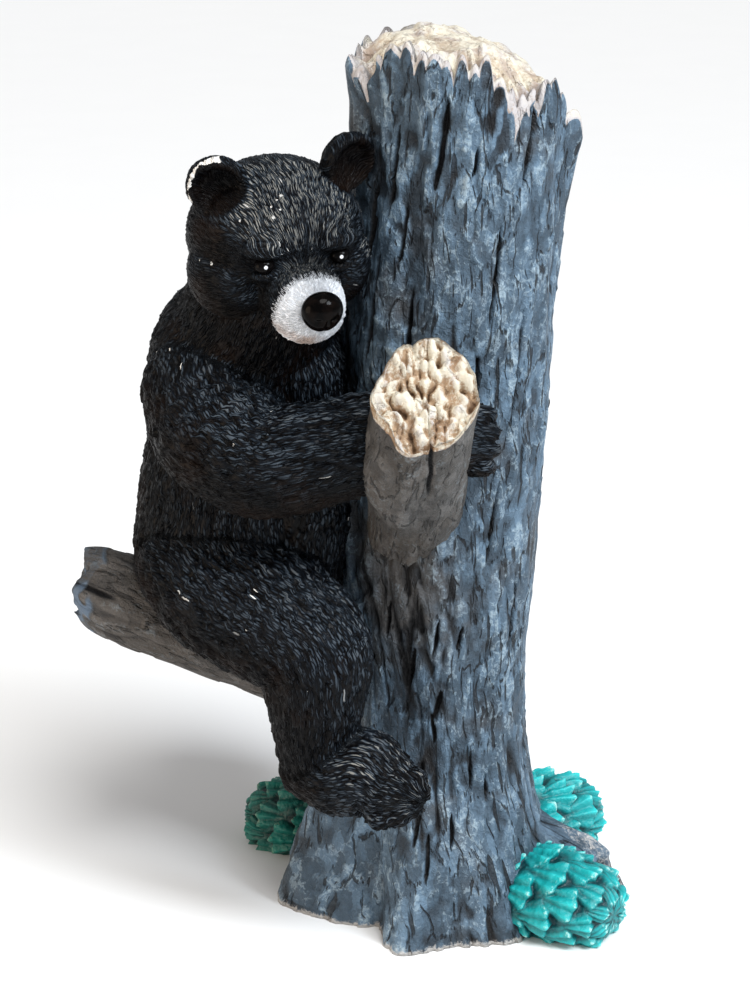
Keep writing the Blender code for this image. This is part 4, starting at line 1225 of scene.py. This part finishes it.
def conePaint(name, strength):
    # deep teal in the hollows, brighter on the folds, cream brushed on the rims; strength dims each channel
    p = Paint(name, Specular_IOR_Level=0.4)
    c = {key: tuple(level * share for level, share in zip(colour, strength)) for key, colour in coneColours.items()}
    lift, folds, rim = p.mark("lift"), p.mark("folds"), p.mark("rim")
    fine, patches = p.noise(0.7, 3, 0.6), p.noise(4.5, 2)
    raised = lift * 0.9 + folds * 0.5 + 0.3 * (fine - 0.5)
    colour = p.mixed(raised.between(0.0, 0.6), c["deep"], c["teal"])
    colour = p.mixed((raised + 0.5 * (patches - 0.5)).between(0.55, 1.15) * 0.9, colour, c["bright"])
    edge = rim * (0.9 * fine + 0.6 * patches + 0.2 * folds).between(0.78, 1.00)
    colour = p.mixed(edge * 0.7, colour, c["cream"])
    return p.surface(colour, 0.30 + 0.2 * fine, fine + 0.6 * patches, 0.3)


# the work

print("paints")
fur = furPaint()
creamEnd = dict(wood=barkColours["cream"], band=barkColours["lilac"])
bark = barkPaint("bark_paint", barkColours["slate"], brownShare=0.0, ochreShare=0.55, brushed=1.0, **creamEnd)
stubBark = barkPaint("stub_paint", (0.090, 0.085, 0.081), brownShare=0.12, ochreShare=0.85, brushed=0.45, **creamEnd)
# the blue of the seat branch's broken end, in wood and band, is painted cool light
branchBark = barkPaint(
    "branch_paint", (0.088, 0.080, 0.074), brownShare=0.20, ochreShare=0.0, brushed=0.4,
    wood=(0.100, 0.140, 0.195), band=(0.070, 0.085, 0.100), blur=0.35,
)
print("trunk")
finished(makeTrunk(), bark)
finished(makeBough("stub", stubSizes), stubBark)
finished(makeBough("seat_branch", branchSizes), branchBark)
print("pine cones")
teal, shaded = conePaint("cone_paint", (1, 1, 1)), conePaint("shaded_cone_paint", (0.5, 0.42, 0.32))
for index, places in enumerate(conePlaces):
    finished(makeCone(places, 90 + 3 * index), shaded if index == 2 else teal)
print("cub")
finished(makeBody(), fur)
finished(makeHead(), fur)
finished(makeNose(), nosePaint())
gloss = eyePaint()
finished(makeEye("eye_left", 1), gloss)
finished(makeEye("eye_right", -1), gloss)

# floor, light, camera

print("studio")

floorSizes = dict(inner=20.0, outer=1600.0, thickness=4.0, rings=12, around=64)
# lamps, sun and camera in metres, watts and degrees; focal is the focal length over the sensor's width
lamps = dict(
    warm_fill=dict(place=(-0.60, -0.30, 0.16), target=(0, 0, 0.08), size=0.45, watts=1.8, colour=(1.0, 0.80, 0.60)),
    cool_side=dict(place=(0.40, -0.32, 0.50), target=(0, 0, 0.09), size=0.22, watts=3.4, colour=(0.86, 0.93, 1.0)),
)
sunSizes = dict(ahead=(-0.25, 0.45, -0.86), strength=2.5, spread=30, colour=(1.0, 0.99, 0.97))
roomSizes = dict(colour=(0.93, 0.96, 1.0, 1), strength=0.42)
cameraSizes = dict(distance=0.450, elevation=20.0, focal=2.250, target=(-0.015, 0, 0.0875))


def makeFloor():
    # a round plate of even rings, the upper ones outwards and the lower ones back
    s = floorSizes
    turn = circle(s["around"])
    rings = np.linspace(s["inner"], s["outer"], s["rings"])[:, None, None] * np.stack(
        [np.cos(turn), np.sin(turn), 0 * turn], axis=-1
    )
    down = (0, 0, -s["thickness"])
    points, quads, triangles = skin(np.concatenate([rings, rings[::-1] + down]), ((0, 0, 0), down))
    floor = placed("floor", meshOf("floor", (points, quads[:, ::-1], triangles[:, ::-1])))
    p = Paint("floor_paint", Roughness=0.9)
    floor.data.materials.append(p.surface(p.mixed(p.noise(40.0, 2), (0.86, 0.86, 0.86), (0.88, 0.88, 0.88))))


def pointed(ahead):
    # the turn that makes a lamp or a camera look ahead, its top upwards
    return Vector(ahead).to_track_quat("-Z", "Y").to_euler()


def makeLight(name, place, target, size, watts, colour):
    # a round lamp that faces its target
    lamp = bpy.data.lights.new(name, "AREA")
    lamp.shape, lamp.size, lamp.energy, lamp.color = "DISK", size, watts, colour
    thing = placed(name, lamp)
    thing.location = place
    thing.rotation_euler = pointed(Vector(target) - Vector(place))


makeFloor()
for name, lamp in lamps.items():
    makeLight(name, **lamp)
sunLamp = bpy.data.lights.new("sun", "SUN")
sunLamp.energy, sunLamp.color = sunSizes["strength"], sunSizes["colour"]
sunLamp.angle = math.radians(sunSizes["spread"])
placed("sun", sunLamp).rotation_euler = pointed(sunSizes["ahead"])
# the room is dim and cool to the figurine, and white to the camera
world = bpy.data.worlds.new("studio")
world.use_nodes = True
worldNodes, worldLinks = world.node_tree.nodes, world.node_tree.links
dim = worldNodes["Background"]
dim.inputs["Color"].default_value = roomSizes["colour"]
dim.inputs["Strength"].default_value = roomSizes["strength"]
bright = worldNodes.new("ShaderNodeBackground")
bright.inputs["Color"].default_value = (1, 1, 1, 1)
seen, either = worldNodes.new("ShaderNodeLightPath"), worldNodes.new("ShaderNodeMixShader")
worldLinks.new(seen.outputs["Is Camera Ray"], either.inputs[0])
worldLinks.new(dim.outputs[0], either.inputs[1])
worldLinks.new(bright.outputs[0], either.inputs[2])
worldLinks.new(either.outputs[0], worldNodes["World Output"].inputs["Surface"])
bpy.context.scene.world = world

lens = bpy.data.cameras.new("camera")
lens.lens = lens.sensor_width * cameraSizes["focal"]
camera = placed("camera", lens)
tip = math.radians(cameraSizes["elevation"])
back = Vector((0, -math.cos(tip), math.sin(tip)))
camera.location = Vector(cameraSizes["target"]) + back * cameraSizes["distance"]
camera.rotation_euler = pointed(-back)
bpy.context.scene.camera = camera
bpy.context.scene.view_settings.view_transform = "Standard"
